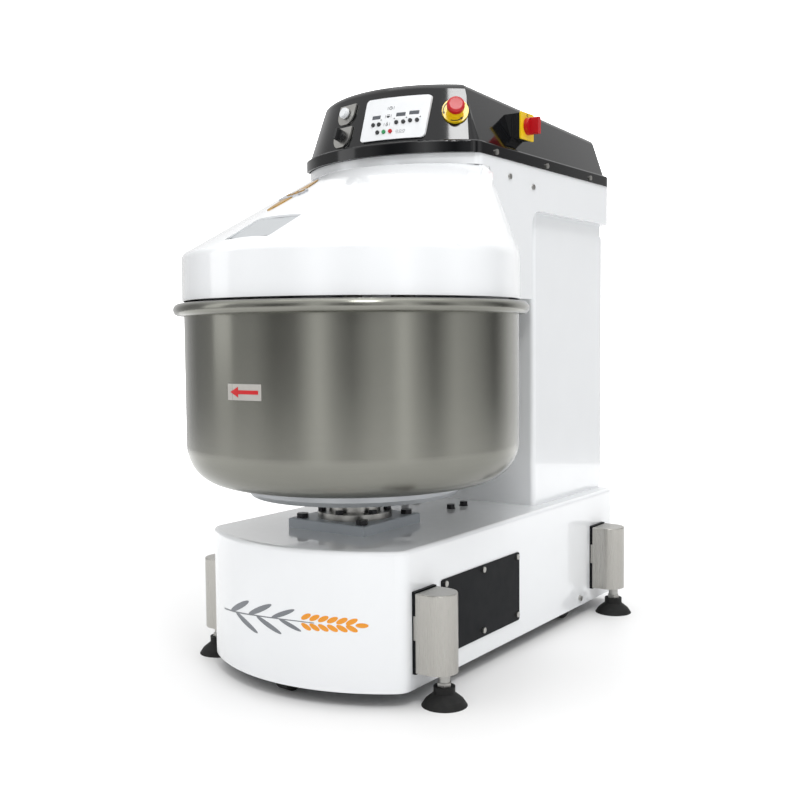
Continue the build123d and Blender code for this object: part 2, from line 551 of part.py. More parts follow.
def make_top_cover():
    body = cover_body(0, COVER_Z, COVER_TOP)
    ridge = body.faces().sort_by(Axis.Z)[-1].edges()
    body = fillet(ridge, 20)
    flange = slab(plan(FLANGE_R, FRONT_Y, FLANGE_W, FLANGE_BACK, 38, 50), FLANGE_Z, COVER_Z)
    flange = fillet(flange.edges().group_by(Axis.Z)[-1], 5)
    cover = body + flange
    rim = plan(FLANGE_R - 6, FRONT_Y, FLANGE_W - 6, FLANGE_BACK - 6, 32, 44)
    cover -= slab(rim, FLANGE_Z - 1, COVER_Z - 5)
    cover -= cover_body(-SHEET, COVER_Z, COVER_TOP - SHEET) + slab(
        cover_face(-SHEET), COVER_Z - 6, COVER_Z)
    for y in FLANGE_SCREWS:
        for hole in both_sides(cyl_x(3 + HOLE_FIT, FLANGE_W - 10, FLANGE_W + 5, y, 1173)):
            cover -= hole
    for spot, r in ((ESTOP_XZ, 11.1), (LAMP_XZ, 8.1), (SELECTOR_XZ, 8.1)):
        cover -= at_front(*spot) * Cylinder(r, 60)
    cover -= cyl_x(12, 200, 240, SWITCH_Y, SWITCH_Z)
    save("top_cover", cover)


# ---------------------------------------------------------------- controls

def at_front(x, z):
    """Place on the cover's leaning front, with +Z of the place straight out of it."""
    r = FLANGE_R - BODY_INSET - (z - COVER_Z) * math.tan(math.radians(LEAN))
    turn = math.asin(x / r)
    lean = math.radians(LEAN)
    spot = (x, FRONT_Y - r * math.cos(turn), z)
    out = (math.sin(turn) * math.cos(lean), -math.cos(turn) * math.cos(lean), math.sin(lean))
    side = (math.cos(turn), math.sin(turn), 0)
    return Location(Plane(spot, x_dir=side, z_dir=out))


def front_patch(x0, x1, z0, z1, corner, low, high):
    """A plate with rounded corners that follows the cover's front, between two depths."""
    window = Pos((x0 + x1) / 2, 200, (z0 + z1) / 2) * Rot(90, 0, 0) * extrude(
        RectangleRounded(x1 - x0, z1 - z0, corner), 300)
    skin = cover_body(high, COVER_Z, COVER_TOP + 30) - cover_body(low, COVER_Z, COVER_TOP + 30)
    return window & skin


def disc_at(x, z, r, low, high):
    return at_front(x, z) * Pos(0, 0, low) * Cylinder(
        r, high - low, align=(Align.CENTER, Align.CENTER, Align.MIN))


def make_controls():
    panel = front_patch(*PANEL_X, *PANEL_Z, 9, 0.0, 5.0)
    windows = []
    for x, z in WINDOWS:
        pane = front_patch(x - 11, x + 11, z - 4.5, z + 4.5, 1, 3.0, 5.0)
        panel -= pane
        windows.append(pane)
    for x, z in KEYS.values():
        panel -= disc_at(x, z, KEY_R + 0.3, -20, 20)
    save("control_panel", panel)
    save("display_windows", *windows)
    for name, (x, z) in KEYS.items():
        key = disc_at(x, z, KEY_R, 2.5, 2.5 + 2.5 + KEY_H)
        save(name, fillet(key.edges().sort_by(Axis.Z)[-1:], 0.8))

    plates = []
    for x, z in (LAMP_XZ, SELECTOR_XZ):
        place = at_front(x, z)
        shield = extrude(Rectangle(58, 26, align=(Align.CENTER, Align.MIN)), 4)
        shield += Cylinder(29, 4, align=(Align.CENTER, Align.CENTER, Align.MIN))
        shield &= Pos(0, -27, 0) * Box(80, 50, 10, align=(Align.CENTER, Align.MIN, Align.MIN))
        plates.append(place * (shield - Cylinder(11.1, 20)))
    save("switch_plates", *plates)
    x, z = LAMP_XZ
    lamp = disc_at(x, z, 13, 7, 13) + disc_at(x, z, 11, 13, 16) + disc_at(x, z, 8, -12, 7)
    save("lamp_button", lamp)
    x, z = SELECTOR_XZ
    knob = disc_at(x, z, 14, 4.3, 16) + disc_at(x, z, 8, -12, 4.3)
    grip = at_front(x, z) * Pos(0, 0, 16) * Box(8, 26, 9, align=(Align.CENTER, Align.CENTER, Align.MIN))
    save("selector_knob", knob + grip)

    x, z = ESTOP_XZ
    plate = disc_at(x, z, ESTOP_PLATE_R, 0, 6) + disc_at(x, z, 17, 6, 16)
    save("estop_plate", plate - disc_at(x, z, 11.1, -1, 20))
    cap = disc_at(x, z, 11, -14, 23) + disc_at(x, z, MUSHROOM_R, 23, 36)
    cap = fillet(cap.edges().filter_by(GeomType.CIRCLE).sort_by_distance(
        at_front(x, z).position + Vector(*(at_front(x, z).z_axis.direction * 60)))[:1], 6)
    save("estop_button", cap)

    half = SWITCH_SIDE / 2
    y0, y1, z0, z1 = SWITCH_Y - half, SWITCH_Y + half, SWITCH_Z - half, SWITCH_Z + half
    body = block(200, 256, y0 + 3, y1 - 3, z0 + 3, z1 - 3)
    body = body - cover_body(0, COVER_Z, COVER_TOP)
    for step in range(5):
        x = 232 + step * 5
        body -= block(x, x + 2, y0, y0 + 4.5, z0, z1) + block(x, x + 2, y1 - 4.5, y1, z0, z1)
    body -= cyl_x(8.1, 200, 260, SWITCH_Y, SWITCH_Z)
    save("main_switch_box", body)
    plate = fillet(block(256, 260, y0, y1, z0, z1).edges().filter_by(Axis.X), 4)
    save("main_switch_plate", plate - cyl_x(8.1, 250, 262, SWITCH_Y, SWITCH_Z))
    knob = cyl_x(20.5, 260.4, 272, SWITCH_Y, SWITCH_Z) + cyl_x(8, 210, 260.4, SWITCH_Y, SWITCH_Z)
    grip = block(272, 292, SWITCH_Y - 7, SWITCH_Y + 7, SWITCH_Z - 20, SWITCH_Z + 20)
    save("main_switch_knob", knob + fillet(grip.edges().filter_by(Axis.X), 4))


# ---------------------------------------------------------------- hood

def hood_wire(z, front_y, ridge, seam, round_r=None):
    """Four-sided outline: arc across the front, two flanks from ridge to seam, straight back."""
    front = ThreePointArc((-ridge[0], ridge[1], z), (0, front_y, z), (*ridge, z))
    if round_r:
        turn = (math.atan2(ridge[1], ridge[0]) + math.atan2(seam[1], seam[0])) / 2
        x, y = round_r * math.cos(turn), round_r * math.sin(turn)
        right = ThreePointArc((*ridge, z), (x, y, z), (*seam, z))
        left = ThreePointArc((-seam[0], seam[1], z), (-x, y, z), (-ridge[0], ridge[1], z))
    else:
        right = Line((*ridge, z), (*seam, z))
        left = Line((-seam[0], seam[1], z), (-ridge[0], ridge[1], z))
    back = Line((*seam, z), (-seam[0], seam[1], z))
    return Wire([front, right, back, left])


def hood_top_wire(inset, reach, z=NECK_Z):
    w = HEAD_W - inset
    return hood_wire(z, HOOD_TOP_Y + inset, (w, HOOD_TOP_CORNER + inset), (w, HOOD_TOP_SEAM + reach))


def hood_solid(inset, reach):
    """The hood's outside (inset 0), or its inside, which reaches past the open back and foot."""
    r = BAND_R - inset
    ridge = (r * math.cos(RIDGE_TURN), r * math.sin(RIDGE_TURN))
    back = math.sqrt(BAND_R ** 2 - HEAD_W ** 2) + reach
    low = hood_wire(BAND_Z1, -r, ridge, (math.sqrt(r ** 2 - back ** 2), back), r)
    slope = Solid.make_loft([low, hood_top_wire(inset, reach)], ruled=True)
    band = cyl(r, BAND_Z0 - reach, BAND_Z1) - block(-500, 500, back, 500, BAND_Z0 - 50, BAND_Z1 + 1)
    return slope + band


def make_hood():
    hood = hood_solid(0, 0)
    inner = hood_solid(SHEET, 12)
    inner += extrude(make_face(hood_top_wire(SHEET, 12).edges()), 6)
    hood -= inner
    (x0, x1), (y0, y1), rim = POCKET_X, POCKET_Y, 3.0
    hood -= block(x0, x1, y0, y1, 930, 1120)
    pocket = block(x0 - rim, x1 + rim, y0 - rim, y1 + rim, 925, 1020)
    pocket -= block(x0, x1, y0, y1, 890, 1030)
    rise = (NECK_Z - BAND_Z1) / (HOOD_TOP_Y + BAND_R)
    back_z = BAND_Z1 + (y1 + BAND_R) * rise - SHEET - 2
    front_z = BAND_Z1 + (CHUTE_FRONT + BAND_R) * rise - CHUTE_DROP
    chute = make_face(Polyline((y1, back_z), (CHUTE_FRONT, front_z), (CHUTE_FRONT, front_z - rim),
                               (y1, back_z - rim), close=True))
    pocket += Pos((x0 + x1) / 2, 0, 0) * extrude(Plane.YZ * chute, (x1 - x0) / 2, both=True)
    hood += pocket & hood_solid(SHEET, 0)
    for x in (-HINGE_X, HINGE_X):
        arm = block(x - 9, x + 9, HOOD_TOP_Y + 8, HINGE_Y, HINGE_Z - 11, HINGE_Z + 11)
        arm += cyl_x(11, x - 9, x + 9, HINGE_Y, HINGE_Z)
        hood += arm - cyl_x(PIN_R + RUN_FIT, x - 10, x + 10, HINGE_Y, HINGE_Z)
    save("hood", hood)
    brackets = []
    for x in (-HINGE_X, HINGE_X):
        lug = cyl_x(PIN_R, x - 18, x + 18, HINGE_Y, HINGE_Z)
        for dx in (-18, 10):
            lug += block(x + dx, x + dx + 8, HINGE_Y - 12, HINGE_Y + 12, BEAM_Z1, HINGE_Z + 10)
        brackets.append(lug)
    save("hood_hinge_brackets", *brackets)


os.makedirs("parts", exist_ok=True)
make_base()
make_frame()
make_side_screws()
make_legs()
make_casters()
make_bowl_drive()
make_bowl()
make_spiral()
make_head_beam()
make_column()
make_head_shell()
make_top_cover()
make_controls()
make_hood()
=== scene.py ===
"""Finishes and visible detail of a floor-standing spiral dough mixer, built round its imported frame.

Metres, +Z up, front towards -Y. Sizes that belong to the frame are read from it.
"""

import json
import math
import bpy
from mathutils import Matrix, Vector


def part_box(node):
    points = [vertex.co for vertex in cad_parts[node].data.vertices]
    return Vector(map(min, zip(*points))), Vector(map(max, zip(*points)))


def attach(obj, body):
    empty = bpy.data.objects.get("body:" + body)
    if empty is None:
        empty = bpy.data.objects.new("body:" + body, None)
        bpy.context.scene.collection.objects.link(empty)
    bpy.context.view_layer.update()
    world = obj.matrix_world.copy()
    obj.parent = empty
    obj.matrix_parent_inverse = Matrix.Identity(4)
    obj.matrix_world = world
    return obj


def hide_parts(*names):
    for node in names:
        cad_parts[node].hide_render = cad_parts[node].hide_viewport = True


bl_info = {
    "name": "Spiral dough mixer",
    "version": (1, 0, 0),
    "blender": (4, 5, 0),
    "location": "3D View > Sidebar > Mixer",
    "description": "Finishes, guard, bowl and printed detail of a spiral dough mixer",
    "category": "Object",
}

import bpy
from bpy.props import FloatProperty, FloatVectorProperty, IntProperty, PointerProperty
from mathutils import Matrix, Vector

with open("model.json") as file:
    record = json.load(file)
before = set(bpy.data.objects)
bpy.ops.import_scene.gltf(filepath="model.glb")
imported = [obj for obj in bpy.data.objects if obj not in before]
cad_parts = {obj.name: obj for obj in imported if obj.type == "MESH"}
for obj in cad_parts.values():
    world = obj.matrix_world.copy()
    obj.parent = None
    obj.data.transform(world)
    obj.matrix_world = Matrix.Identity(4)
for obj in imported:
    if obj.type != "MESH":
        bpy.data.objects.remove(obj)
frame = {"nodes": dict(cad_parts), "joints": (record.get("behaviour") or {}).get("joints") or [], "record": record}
NODES = frame["nodes"]
JOINTS = {joint["name"]: joint for joint in frame["joints"]}
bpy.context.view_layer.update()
MM = 0.001

# Places read from the frame
BOWL_Y = JOINTS["bowl_spin"]["pos_m"][1]
BOWL_LOW, BOWL_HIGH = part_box("bowl")
HOOD_LOW, HOOD_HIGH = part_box("hood")
SHELL_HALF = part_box("head_shell")[1].x
BASE_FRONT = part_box("base_shell")[0].y
PANEL_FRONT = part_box("control_panel")[0].y

# The guard, from the bowl's axis: its feed opening, the inclined plate in it, and its hinge arms
POCKET_X, POCKET_Y = (-70 * MM, 52 * MM), (-336 * MM, -232 * MM)
PLATE_FRONT, PLATE_DROP, CHUTE_FOOT = -318 * MM, 8 * MM, 925 * MM
HINGE_X, EYE_R, ARM_HALF = 70 * MM, 11 * MM, 9 * MM
# The guard's top edge: middle, corner and seam, and the arc between its corners
TOP_Y, TOP_CORNER, TOP_SEAM = 25 * MM, 165 * MM, 190 * MM
TOP_BEND = (SHELL_HALF ** 2 + (TOP_CORNER - TOP_Y) ** 2) / (2 * (TOP_CORNER - TOP_Y))
RIDGE_TURN = math.radians(-15.7)    # where each ridge meets the upright band

# Prints and marks: middle of each, and the height at which a foot's pad ends
ARROW_X, ARROW_Z = 16 * MM, 647 * MM
BADGE_X, BADGE_Y = -90 * MM, -94 * MM
MOTIF_Z = 168 * MM
FOOT_COLLAR = 40 * MM

# Softboxes: place and size of each, and the height that they are turned to
SOFTBOXES = {"key": ((1.7, -1.8, 3.5), (0.75, 0.75)), "fill": ((-3.0, -2.4, 1.9), (1.2, 2.8)),
             "overhead": ((0.1, 0.0, 4.2), (3.2, 3.2))}
AIM_HEIGHT = 0.7
# Once round the room from -X: how far round, and how bright its wall is there
WALLS = ((0.0, 0.22), (0.09, 0.34), (0.165, 0.36), (0.21, 0.1), (0.25, 0.16), (0.292, 0.85),
         (0.325, 0.28), (0.352, 0.08), (0.39, 0.42), (0.425, 0.5), (0.447, 0.95), (0.472, 0.45),
         (0.507, 0.06), (0.552, 0.6), (0.60, 0.42), (0.66, 0.08), (0.72, 0.6), (0.8, 0.6),
         (0.93, 0.45), (1.0, 0.22))
# Distance at which the floor starts to glow, and glows fully
GLOW_FROM, GLOW_FULL = 1.3, 3.5
# Sine of the height above level at which the walls start to turn into ceiling, and have
CEILING_FROM, CEILING_FULL = 0.4, 0.75


def linear(code, alpha=1.0):
    """An sRGB hex colour as linear RGBA."""
    values = [int(code[i:i + 2], 16) / 255 for i in (1, 3, 5)]
    return tuple(v / 12.92 if v <= 0.04045 else ((v + 0.055) / 1.055) ** 2.4 for v in values) + (alpha,)


# ---------------------------------------------------------------- settings

def colour(name, description, code):
    return FloatVectorProperty(name=name, description=description, subtype="COLOR", size=4,
                               min=0, max=1, default=linear(code))


def length(name, description, value):
    return FloatProperty(name=name, description=description, default=value, min=0, unit="LENGTH")


class MixerColours(bpy.types.PropertyGroup):
    paint: colour("Paint", "Powder coat of the base, column, head and guard", "#EEF0F2")
    cover: colour("Cover", "Glossy moulding over the head", "#030407")
    steel: colour("Stainless steel", "Brushed bowl and leg housings", "#878780")
    casting: colour("Casting", "Painted bearing plate and frame", "#C2C8CE")
    machined: colour("Machined steel", "Hub, shafts and fasteners", "#B4B3AF")
    alloy: colour("Aluminium", "Support disc, motors and pulleys", "#C3C6C8")
    rubber: colour("Rubber", "Feet, wheels and belts", "#0C0D0E")
    dark_sheet: colour("Dark sheet", "Side panel and leg brackets", "#0D0F13")
    label: colour("Panel", "Control panel", "#E9EBED")
    yellow: colour("Yellow", "Emergency stop and main switch plates", "#F0CB12")
    red: colour("Red", "Emergency stop, main switch and stop key", "#B8101A")
    green: colour("Green", "Start key", "#0C8A4A")
    amber: colour("Amber", "Grains of the motif and the guard's badge", "#F09A1C")
    grey_ink: colour("Grey ink", "Stalk of the motif and panel prints", "#7B7F84")


class MixerSizes(bpy.types.PropertyGroup):
    sheet: length("Sheet", "Thickness of the guard", 4 * MM)
    crease: length("Crease", "Where the guard's slope meets its band", BOWL_HIGH.z + 105 * MM)
    ridge_round: length("Ridge rounding", "Rounding of the guard's ridges", 26 * MM)
    wall: length("Bowl wall", "Thickness of the bowl", 3 * MM)
    bead: length("Bead", "Radius of the bowl's rolled rim", 13.9 * MM)
    bowl_bend: length("Bowl bend", "Radius between the bowl's wall and floor", 88 * MM)
    print_high: length("Print", "How far prints stand out", 0.4 * MM)
    arrow: length("Arrow", "Length of the turning arrow on the bowl", 72 * MM)
    steps: IntProperty(name="Steps", description="Segments round the bowl", default=160, min=32)


class MixerStage(bpy.types.PropertyGroup):
    lens: FloatProperty(name="Lens", description="Focal length for a 36 mm sensor", default=46.351)
    turn: FloatProperty(name="Turn", description="Camera's turn about the vertical",
                        subtype="ANGLE", default=math.radians(35.167))
    tilt: FloatProperty(name="Tilt", description="Camera's tilt below level",
                        subtype="ANGLE", default=math.radians(3.666))
    roll: FloatProperty(name="Roll", description="Camera's roll", subtype="ANGLE",
                        default=math.radians(-0.498))
    place: FloatVectorProperty(name="Camera", description="Camera's place from the bowl's axis",
                               subtype="XYZ", unit="LENGTH", default=(1.4417, -1.8622, 0.7596))
    key: FloatProperty(name="Key light", description="Power of the high softbox in front", default=30)
    fill: FloatProperty(name="Fill light", description="Power of the softbox on the left", default=12)
    overhead: FloatProperty(name="Overhead light", description="Power of the top softbox", default=34)
    world: FloatProperty(name="Surroundings", description="Strength of the pale room", default=0.8)
    floor: FloatProperty(name="Floor", description="Radius of the floor", default=3.7, unit="LENGTH")
    floor_glow: FloatProperty(name="Floor glow", description="Light of the far floor itself", default=0.7)


# ---------------------------------------------------------------- materials

def add(tree, kind, links=(), **settings):
    """A node with its settings, and its input links as (input, source node, output)."""
    node = tree.nodes.new("ShaderNode" + kind)
    for key, value in settings.items():
        if hasattr(node, key):
            setattr(node, key, value)
        else:
            node.inputs[key.replace("_", " ")].default_value = value
    for target, source, output in links:
        tree.links.new(source.outputs[output], node.inputs[target])
    return node


def new_material(name):
    """A material with its Principled shader, and the Object coordinates that patterns read."""
    material = bpy.data.materials.new(name)
    material.use_nodes = True
    tree = material.node_tree
    tree.nodes.clear()
    shader = tree.nodes.new("ShaderNodeBsdfPrincipled")
    output = tree.nodes.new("ShaderNodeOutputMaterial")
    tree.links.new(shader.outputs["BSDF"], output.inputs["Surface"])
    place = tree.nodes.new("ShaderNodeTexCoord")
    return material, tree, shader, place


def setting(shader, **values):
    for key, value in values.items():
        shader.inputs[key.replace("_", " ")].default_value = value


def tint(tree, shader, base, dark, factor, output):
    """The base colour, drifting towards a slightly different one."""
    mix = add(tree, "Mix", data_type="RGBA")
    mix.inputs[6].default_value = base
    mix.inputs[7].default_value = dark
    tree.links.new(factor.outputs[output], mix.inputs[0])
    tree.links.new(mix.outputs[2], shader.inputs["Base Color"])


def darker(value, share):
    return (value[0] * share, value[1] * share, value[2] * share, 1)


def ranged(tree, factor, output, low, high, start=0.0, end=1.0):
    """A value that goes from low to high as another goes from start to end."""
    return add(tree, "MapRange", [("Value", factor, output)],
               From_Min=start, From_Max=end, To_Min=low, To_Max=high)


def powder_coat(name, base, rough=(0.16, 0.24), peel=0.03, coat=0.8, shine=0.5):
    """Polyester powder coat on sheet steel: even colour, high gloss, a faint orange peel."""
    material, tree, shader, place = new_material(name)
    setting(shader, IOR=1.5, Coat_Weight=coat, Coat_Roughness=0.04, Specular_IOR_Level=shine)
    cloud = add(tree, "TexNoise", [("Vector", place, "Object")], Scale=9, Detail=3)
    tint(tree, shader, base, darker(base, 0.965), cloud, "Fac")
    wear = add(tree, "TexNoise", [("Vector", place, "Object")], Scale=38, Detail=4)
    tree.links.new(ranged(tree, wear, "Fac", *rough).outputs[0], shader.inputs["Roughness"])
    # orange peel about 2.5 mm across
    grain = add(tree, "TexNoise", [("Vector", place, "Object")], Scale=400, Detail=2)
    bump = add(tree, "Bump", [("Height", grain, "Fac")], Strength=peel, Distance=0.0004)
    tree.links.new(bump.outputs[0], shader.inputs["Normal"])
    return material


def moulded(name, base, rough, grain_mm=0.8, relief=0.06, coat=0.0, shine=0.5):
    """Injection moulded ABS or nylon: the tool's fine spark-eroded grain, a little uneven gloss."""
    material, tree, shader, place = new_material(name)
    setting(shader, IOR=1.53, Coat_Weight=coat, Coat_Roughness=0.04, Specular_IOR_Level=shine)
    cloud = add(tree, "TexNoise", [("Vector", place, "Object")], Scale=22, Detail=3)
    tint(tree, shader, base, darker(base, 0.88), cloud, "Fac")
    tree.links.new(ranged(tree, cloud, "Fac", rough * 0.8, rough * 1.25).outputs[0],
                   shader.inputs["Roughness"])
    grain = add(tree, "TexNoise", [("Vector", place, "Object")], Scale=1000 / grain_mm, Detail=1)
    bump = add(tree, "Bump", [("Height", grain, "Fac")], Strength=relief, Distance=0.0002)
    tree.links.new(bump.outputs[0], shader.inputs["Normal"])
    return material


def brushed_round(name, base, centre, rough=(0.2, 0.3), grain_mm=1.6, streak=0.8):
    """Stainless steel brushed as it turned: fine lines round the axis, highlights drawn out along it."""
    material, tree, shader, place = new_material(name)
    setting(shader, Metallic=1.0, Anisotropic=streak, Anisotropic_Rotation=0.25)
    local = add(tree, "Mapping", [("Vector", place, "Object")])
    local.inputs["Location"].default_value = (-centre[0], -centre[1], 0)
    split = add(tree, "SeparateXYZ", [("Vector", local, "Vector")])
    turn = add(tree, "Math", [(0, split, "Y"), (1, split, "X")], operation="ARCTAN2")
    # the lines are drawn coarser than real grit so that they show at arm's length
    around = add(tree, "Math", [(0, turn, 0)], operation="MULTIPLY")
    around.inputs[1].default_value = 3.0
    up = add(tree, "Math", [(0, split, "Z")], operation="MULTIPLY")
    up.inputs[1].default_value = 1000 / grain_mm
    out = add(tree, "VectorMath", [(0, local, "Vector")], operation="LENGTH")
    joined = add(tree, "CombineXYZ", [("X", around, 0), ("Y", up, 0), ("Z", out, "Value")])
    lines = add(tree, "TexNoise", [("Vector", joined, 0)], Scale=1, Detail=4, Roughness=0.65)
    cloud = add(tree, "TexNoise", [("Vector", place, "Object")], Scale=6, Detail=3)
    tint(tree, shader, base, darker(base, 0.86), lines, "Fac")
    both = add(tree, "Math", [(0, lines, "Fac"), (1, cloud, "Fac")], operation="MULTIPLY_ADD")
    both.inputs[2].default_value = 0.12
    tree.links.new(ranged(tree, both, 0, *rough).outputs[0], shader.inputs["Roughness"])
    tangent = add(tree, "Tangent", direction_type="RADIAL", axis="Z")
    tree.links.new(tangent.outputs[0], shader.inputs["Tangent"])
    bump = add(tree, "Bump", [("Height", lines, "Fac")], Strength=0.05, Distance=0.0003)
    tree.links.new(bump.outputs[0], shader.inputs["Normal"])
    return material


def brushed_along(name, base, rough=(0.22, 0.34), grain_mm=1.2):
    """Stainless sheet brushed up and down before it was bent."""
    material, tree, shader, place = new_material(name)
    setting(shader, Metallic=1.0, Anisotropic=0.5)
    fine = add(tree, "Mapping", [("Vector", place, "Object")])
    fine.inputs["Scale"].default_value = (1000 / grain_mm, 1000 / grain_mm, 14)
    lines = add(tree, "TexNoise", [("Vector", fine, "Vector")], Scale=1, Detail=3, Roughness=0.6)
    tint(tree, shader, base, darker(base, 0.84), lines, "Fac")
    tree.links.new(ranged(tree, lines, "Fac", *rough).outputs[0], shader.inputs["Roughness"])
    bump = add(tree, "Bump", [("Height", lines, "Fac")], Strength=0.06, Distance=0.0003)
    tree.links.new(bump.outputs[0], shader.inputs["Normal"])
    return material


def bare_metal(name, base, rough=(0.25, 0.42), grain_mm=2.5):
    """Machined or cast metal: cutter marks too fine to follow, a patchy sheen."""
    material, tree, shader, place = new_material(name)
    setting(shader, Metallic=1.0)
    cloud = add(tree, "TexNoise", [("Vector", place, "Object")], Scale=1000 / (grain_mm * 12), Detail=4)
    tint(tree, shader, base, darker(base, 0.78), cloud, "Fac")
    tree.links.new(ranged(tree, cloud, "Fac", *rough).outputs[0], shader.inputs["Roughness"])
    grain = add(tree, "TexNoise", [("Vector", place, "Object")], Scale=1000 / grain_mm, Detail=2)
    bump = add(tree, "Bump", [("Height", grain, "Fac")], Strength=0.08, Distance=0.0003)
    tree.links.new(bump.outputs[0], shader.inputs["Normal"])
    return material


DUST = (0.022, 0.022, 0.021, 1)


def soft_rubber(name, base):
    """Vulcanised rubber: matt, slightly dusty, a sandy moulded skin."""
    material, tree, shader, place = new_material(name)
    setting(shader, IOR=1.52, Specular_IOR_Level=0.2)
    dust = add(tree, "TexNoise", [("Vector", place, "Object")], Scale=60, Detail=5)
    tint(tree, shader, base, DUST, dust, "Fac")
    tree.links.new(ranged(tree, dust, "Fac", 0.5, 0.72).outputs[0], shader.inputs["Roughness"])
    grain = add(tree, "TexNoise", [("Vector", place, "Object")], Scale=900, Detail=2)
    bump = add(tree, "Bump", [("Height", grain, "Fac")], Strength=0.18, Distance=0.0003)
    tree.links.new(bump.outputs[0], shader.inputs["Normal"])
    return material


def window_acrylic(name):
    """Smoked acrylic over a display: nearly black, polished."""
    material, tree, shader, place = new_material(name)
    setting(shader, IOR=1.49, Coat_Weight=0.5, Coat_Roughness=0.03)
    bars = add(tree, "TexWave", [("Vector", place, "Object")], Scale=260, Distortion=0.6,
               bands_direction="X")
    tint(tree, shader, linear("#2A2D33"), linear("#5A5F66"), bars, "Fac")
    tree.links.new(ranged(tree, bars, "Fac", 0.12, 0.2).outputs[0], shader.inputs["Roughness"])
    return material


def make_materials(colours):
    steel = tuple(colours.steel)
    return {
        "white_paint": powder_coat("white_powder_coat", tuple(colours.paint)),
        "black_gloss": moulded("black_gloss_abs", tuple(colours.cover), 0.1, 6.0, 0.02, 0.0, 0.45),
        "stainless": brushed_round("stainless_brushed_round", steel, (0, BOWL_Y)),
        # painted shade: the feed chute wears a darker grey copy of the white paint, standing in for the shade
        # inside the opening
        "chute_paint": powder_coat("white_paint_in_shade", linear("#A6AAAD"), (0.25, 0.35), 0.03, 0.3),
        "leg_steel": brushed_along("stainless_brushed_along", linear("#B5B3AE")),
        "tool_steel": bare_metal("stainless_polished", linear("#C9C6C0"), (0.16, 0.3), 3.0),
        "aluminium": brushed_round("aluminium_turned", tuple(colours.alloy), (0, BOWL_Y),
                                   (0.3, 0.45), 2.2, 0.4),
        "cast_alloy": brushed_round("aluminium_cast_turned", linear("#B4B7BA"), (0, BOWL_Y),
                                    (0.4, 0.52), 2.2, 0.3),
        "black_bolt": bare_metal("steel_black_oxide", linear("#3A3A3C"), (0.3, 0.45), 3.0),
        "motor_alloy": bare_metal("aluminium_cast", linear("#A9ADB0"), (0.4, 0.6), 1.2),
        "grey_steel": powder_coat("grey_hammer_paint", tuple(colours.casting), (0.32, 0.48), 0.25, 0.1),
        "bright_steel": bare_metal("steel_machined", tuple(colours.machined)),
        "black_plastic": moulded("black_nylon", linear("#121315"), 0.42, 0.9, 0.15),
        "dark_sheet": powder_coat("black_textured_powder", tuple(colours.dark_sheet),
                                  (0.42, 0.55), 0.3, 0.0, 0.12),
        "foot_rubber": soft_rubber("rubber_moulded", tuple(colours.rubber)),
        "belt_rubber": soft_rubber("rubber_belt", linear("#202124")),
        "white_plastic": moulded("white_polycarbonate", tuple(colours.label), 0.3, 0.7, 0.05, 0.15),
        "dark_window": window_acrylic("acrylic_smoked"),
        "yellow_plastic": moulded("yellow_nylon", tuple(colours.yellow), 0.3, 1.0, 0.06, 0.2),
        "red_plastic": moulded("red_nylon", tuple(colours.red), 0.3, 1.0, 0.05, 0.0, 0.4),
        "green_plastic": moulded("green_nylon", tuple(colours.green), 0.3, 1.0, 0.05, 0.2),
        "dark_plastic": moulded("dark_key_rubber", linear("#1B1D20"), 0.4, 0.6, 0.08),
        "red_vinyl": moulded("red_vinyl", linear("#C81A1F"), 0.32, 2.0, 0.03),
        "clear_vinyl": moulded("pale_vinyl", linear("#B7B4AF"), 0.2, 2.0, 0.02),
        "grey_ink": moulded("grey_ink", tuple(colours.grey_ink), 0.4, 1.0, 0.03),
        "dark_ink": moulded("dark_ink", linear("#26292D"), 0.4, 1.0, 0.03),
        "amber_ink": moulded("amber_ink", tuple(colours.amber), 0.35, 1.0, 0.03),
        "gold_foil": bare_metal("gold_foil", linear("#C9982E"), (0.2, 0.32), 1.5),
        "silver_foil": bare_metal("silver_foil", linear("#C9CBD0"), (0.18, 0.3), 1.5),
    }


MATERIALS = {}


# ---------------------------------------------------------------- modelling helpers

def deselect():
    if bpy.context.object and bpy.context.object.mode != "OBJECT":
        bpy.ops.object.mode_set(mode="OBJECT")
    bpy.ops.object.select_all(action="DESELECT")


def active(piece):
    deselect()
    piece.select_set(True)
    bpy.context.view_layer.objects.active = piece


def trace(name, points, close=False):
    """A line through points, made by extruding one vertex from each to the next."""
    deselect()
    bpy.ops.mesh.primitive_plane_add(size=MM)
    piece = bpy.context.object
    piece.name = piece.data.name = name
    bpy.ops.object.mode_set(mode="EDIT")
    bpy.ops.mesh.select_mode(type="VERT")
    bpy.ops.mesh.select_all(action="SELECT")
    bpy.ops.mesh.merge(type="CENTER")
    bpy.ops.transform.translate(value=points[0])
    for before, after in zip(points, points[1:]):
        step = [b - a for a, b in zip(before, after)]
        bpy.ops.mesh.extrude_region_move(TRANSFORM_OT_translate={"value": step})
    if close:
        bpy.ops.mesh.select_all(action="SELECT")
        bpy.ops.mesh.edge_face_add()
    bpy.ops.object.mode_set(mode="OBJECT")
    return piece


def apply_modifier(piece, kind, **settings):
    active(piece)
    modifier = piece.modifiers.new(kind.title(), kind)
    for key, value in settings.items():
        setattr(modifier, key, value)
    bpy.ops.object.modifier_apply(modifier=modifier.name)


def smooth(piece, angle=30):
    active(piece)
    bpy.ops.object.shade_smooth_by_angle(angle=math.radians(angle))


def outward(piece):
    active(piece)
    bpy.ops.object.mode_set(mode="EDIT")
    bpy.ops.mesh.select_all(action="SELECT")
    bpy.ops.mesh.remove_doubles(threshold=0.00001)
    bpy.ops.mesh.normals_make_consistent(inside=False)
    bpy.ops.object.mode_set(mode="OBJECT")


def join(name, parts):
    deselect()
    for part in parts:
        part.select_set(True)
    bpy.context.view_layer.objects.active = parts[0]
    if len(parts) > 1:
        bpy.ops.object.join()
    parts[0].name = parts[0].data.name = name
    return parts[0]


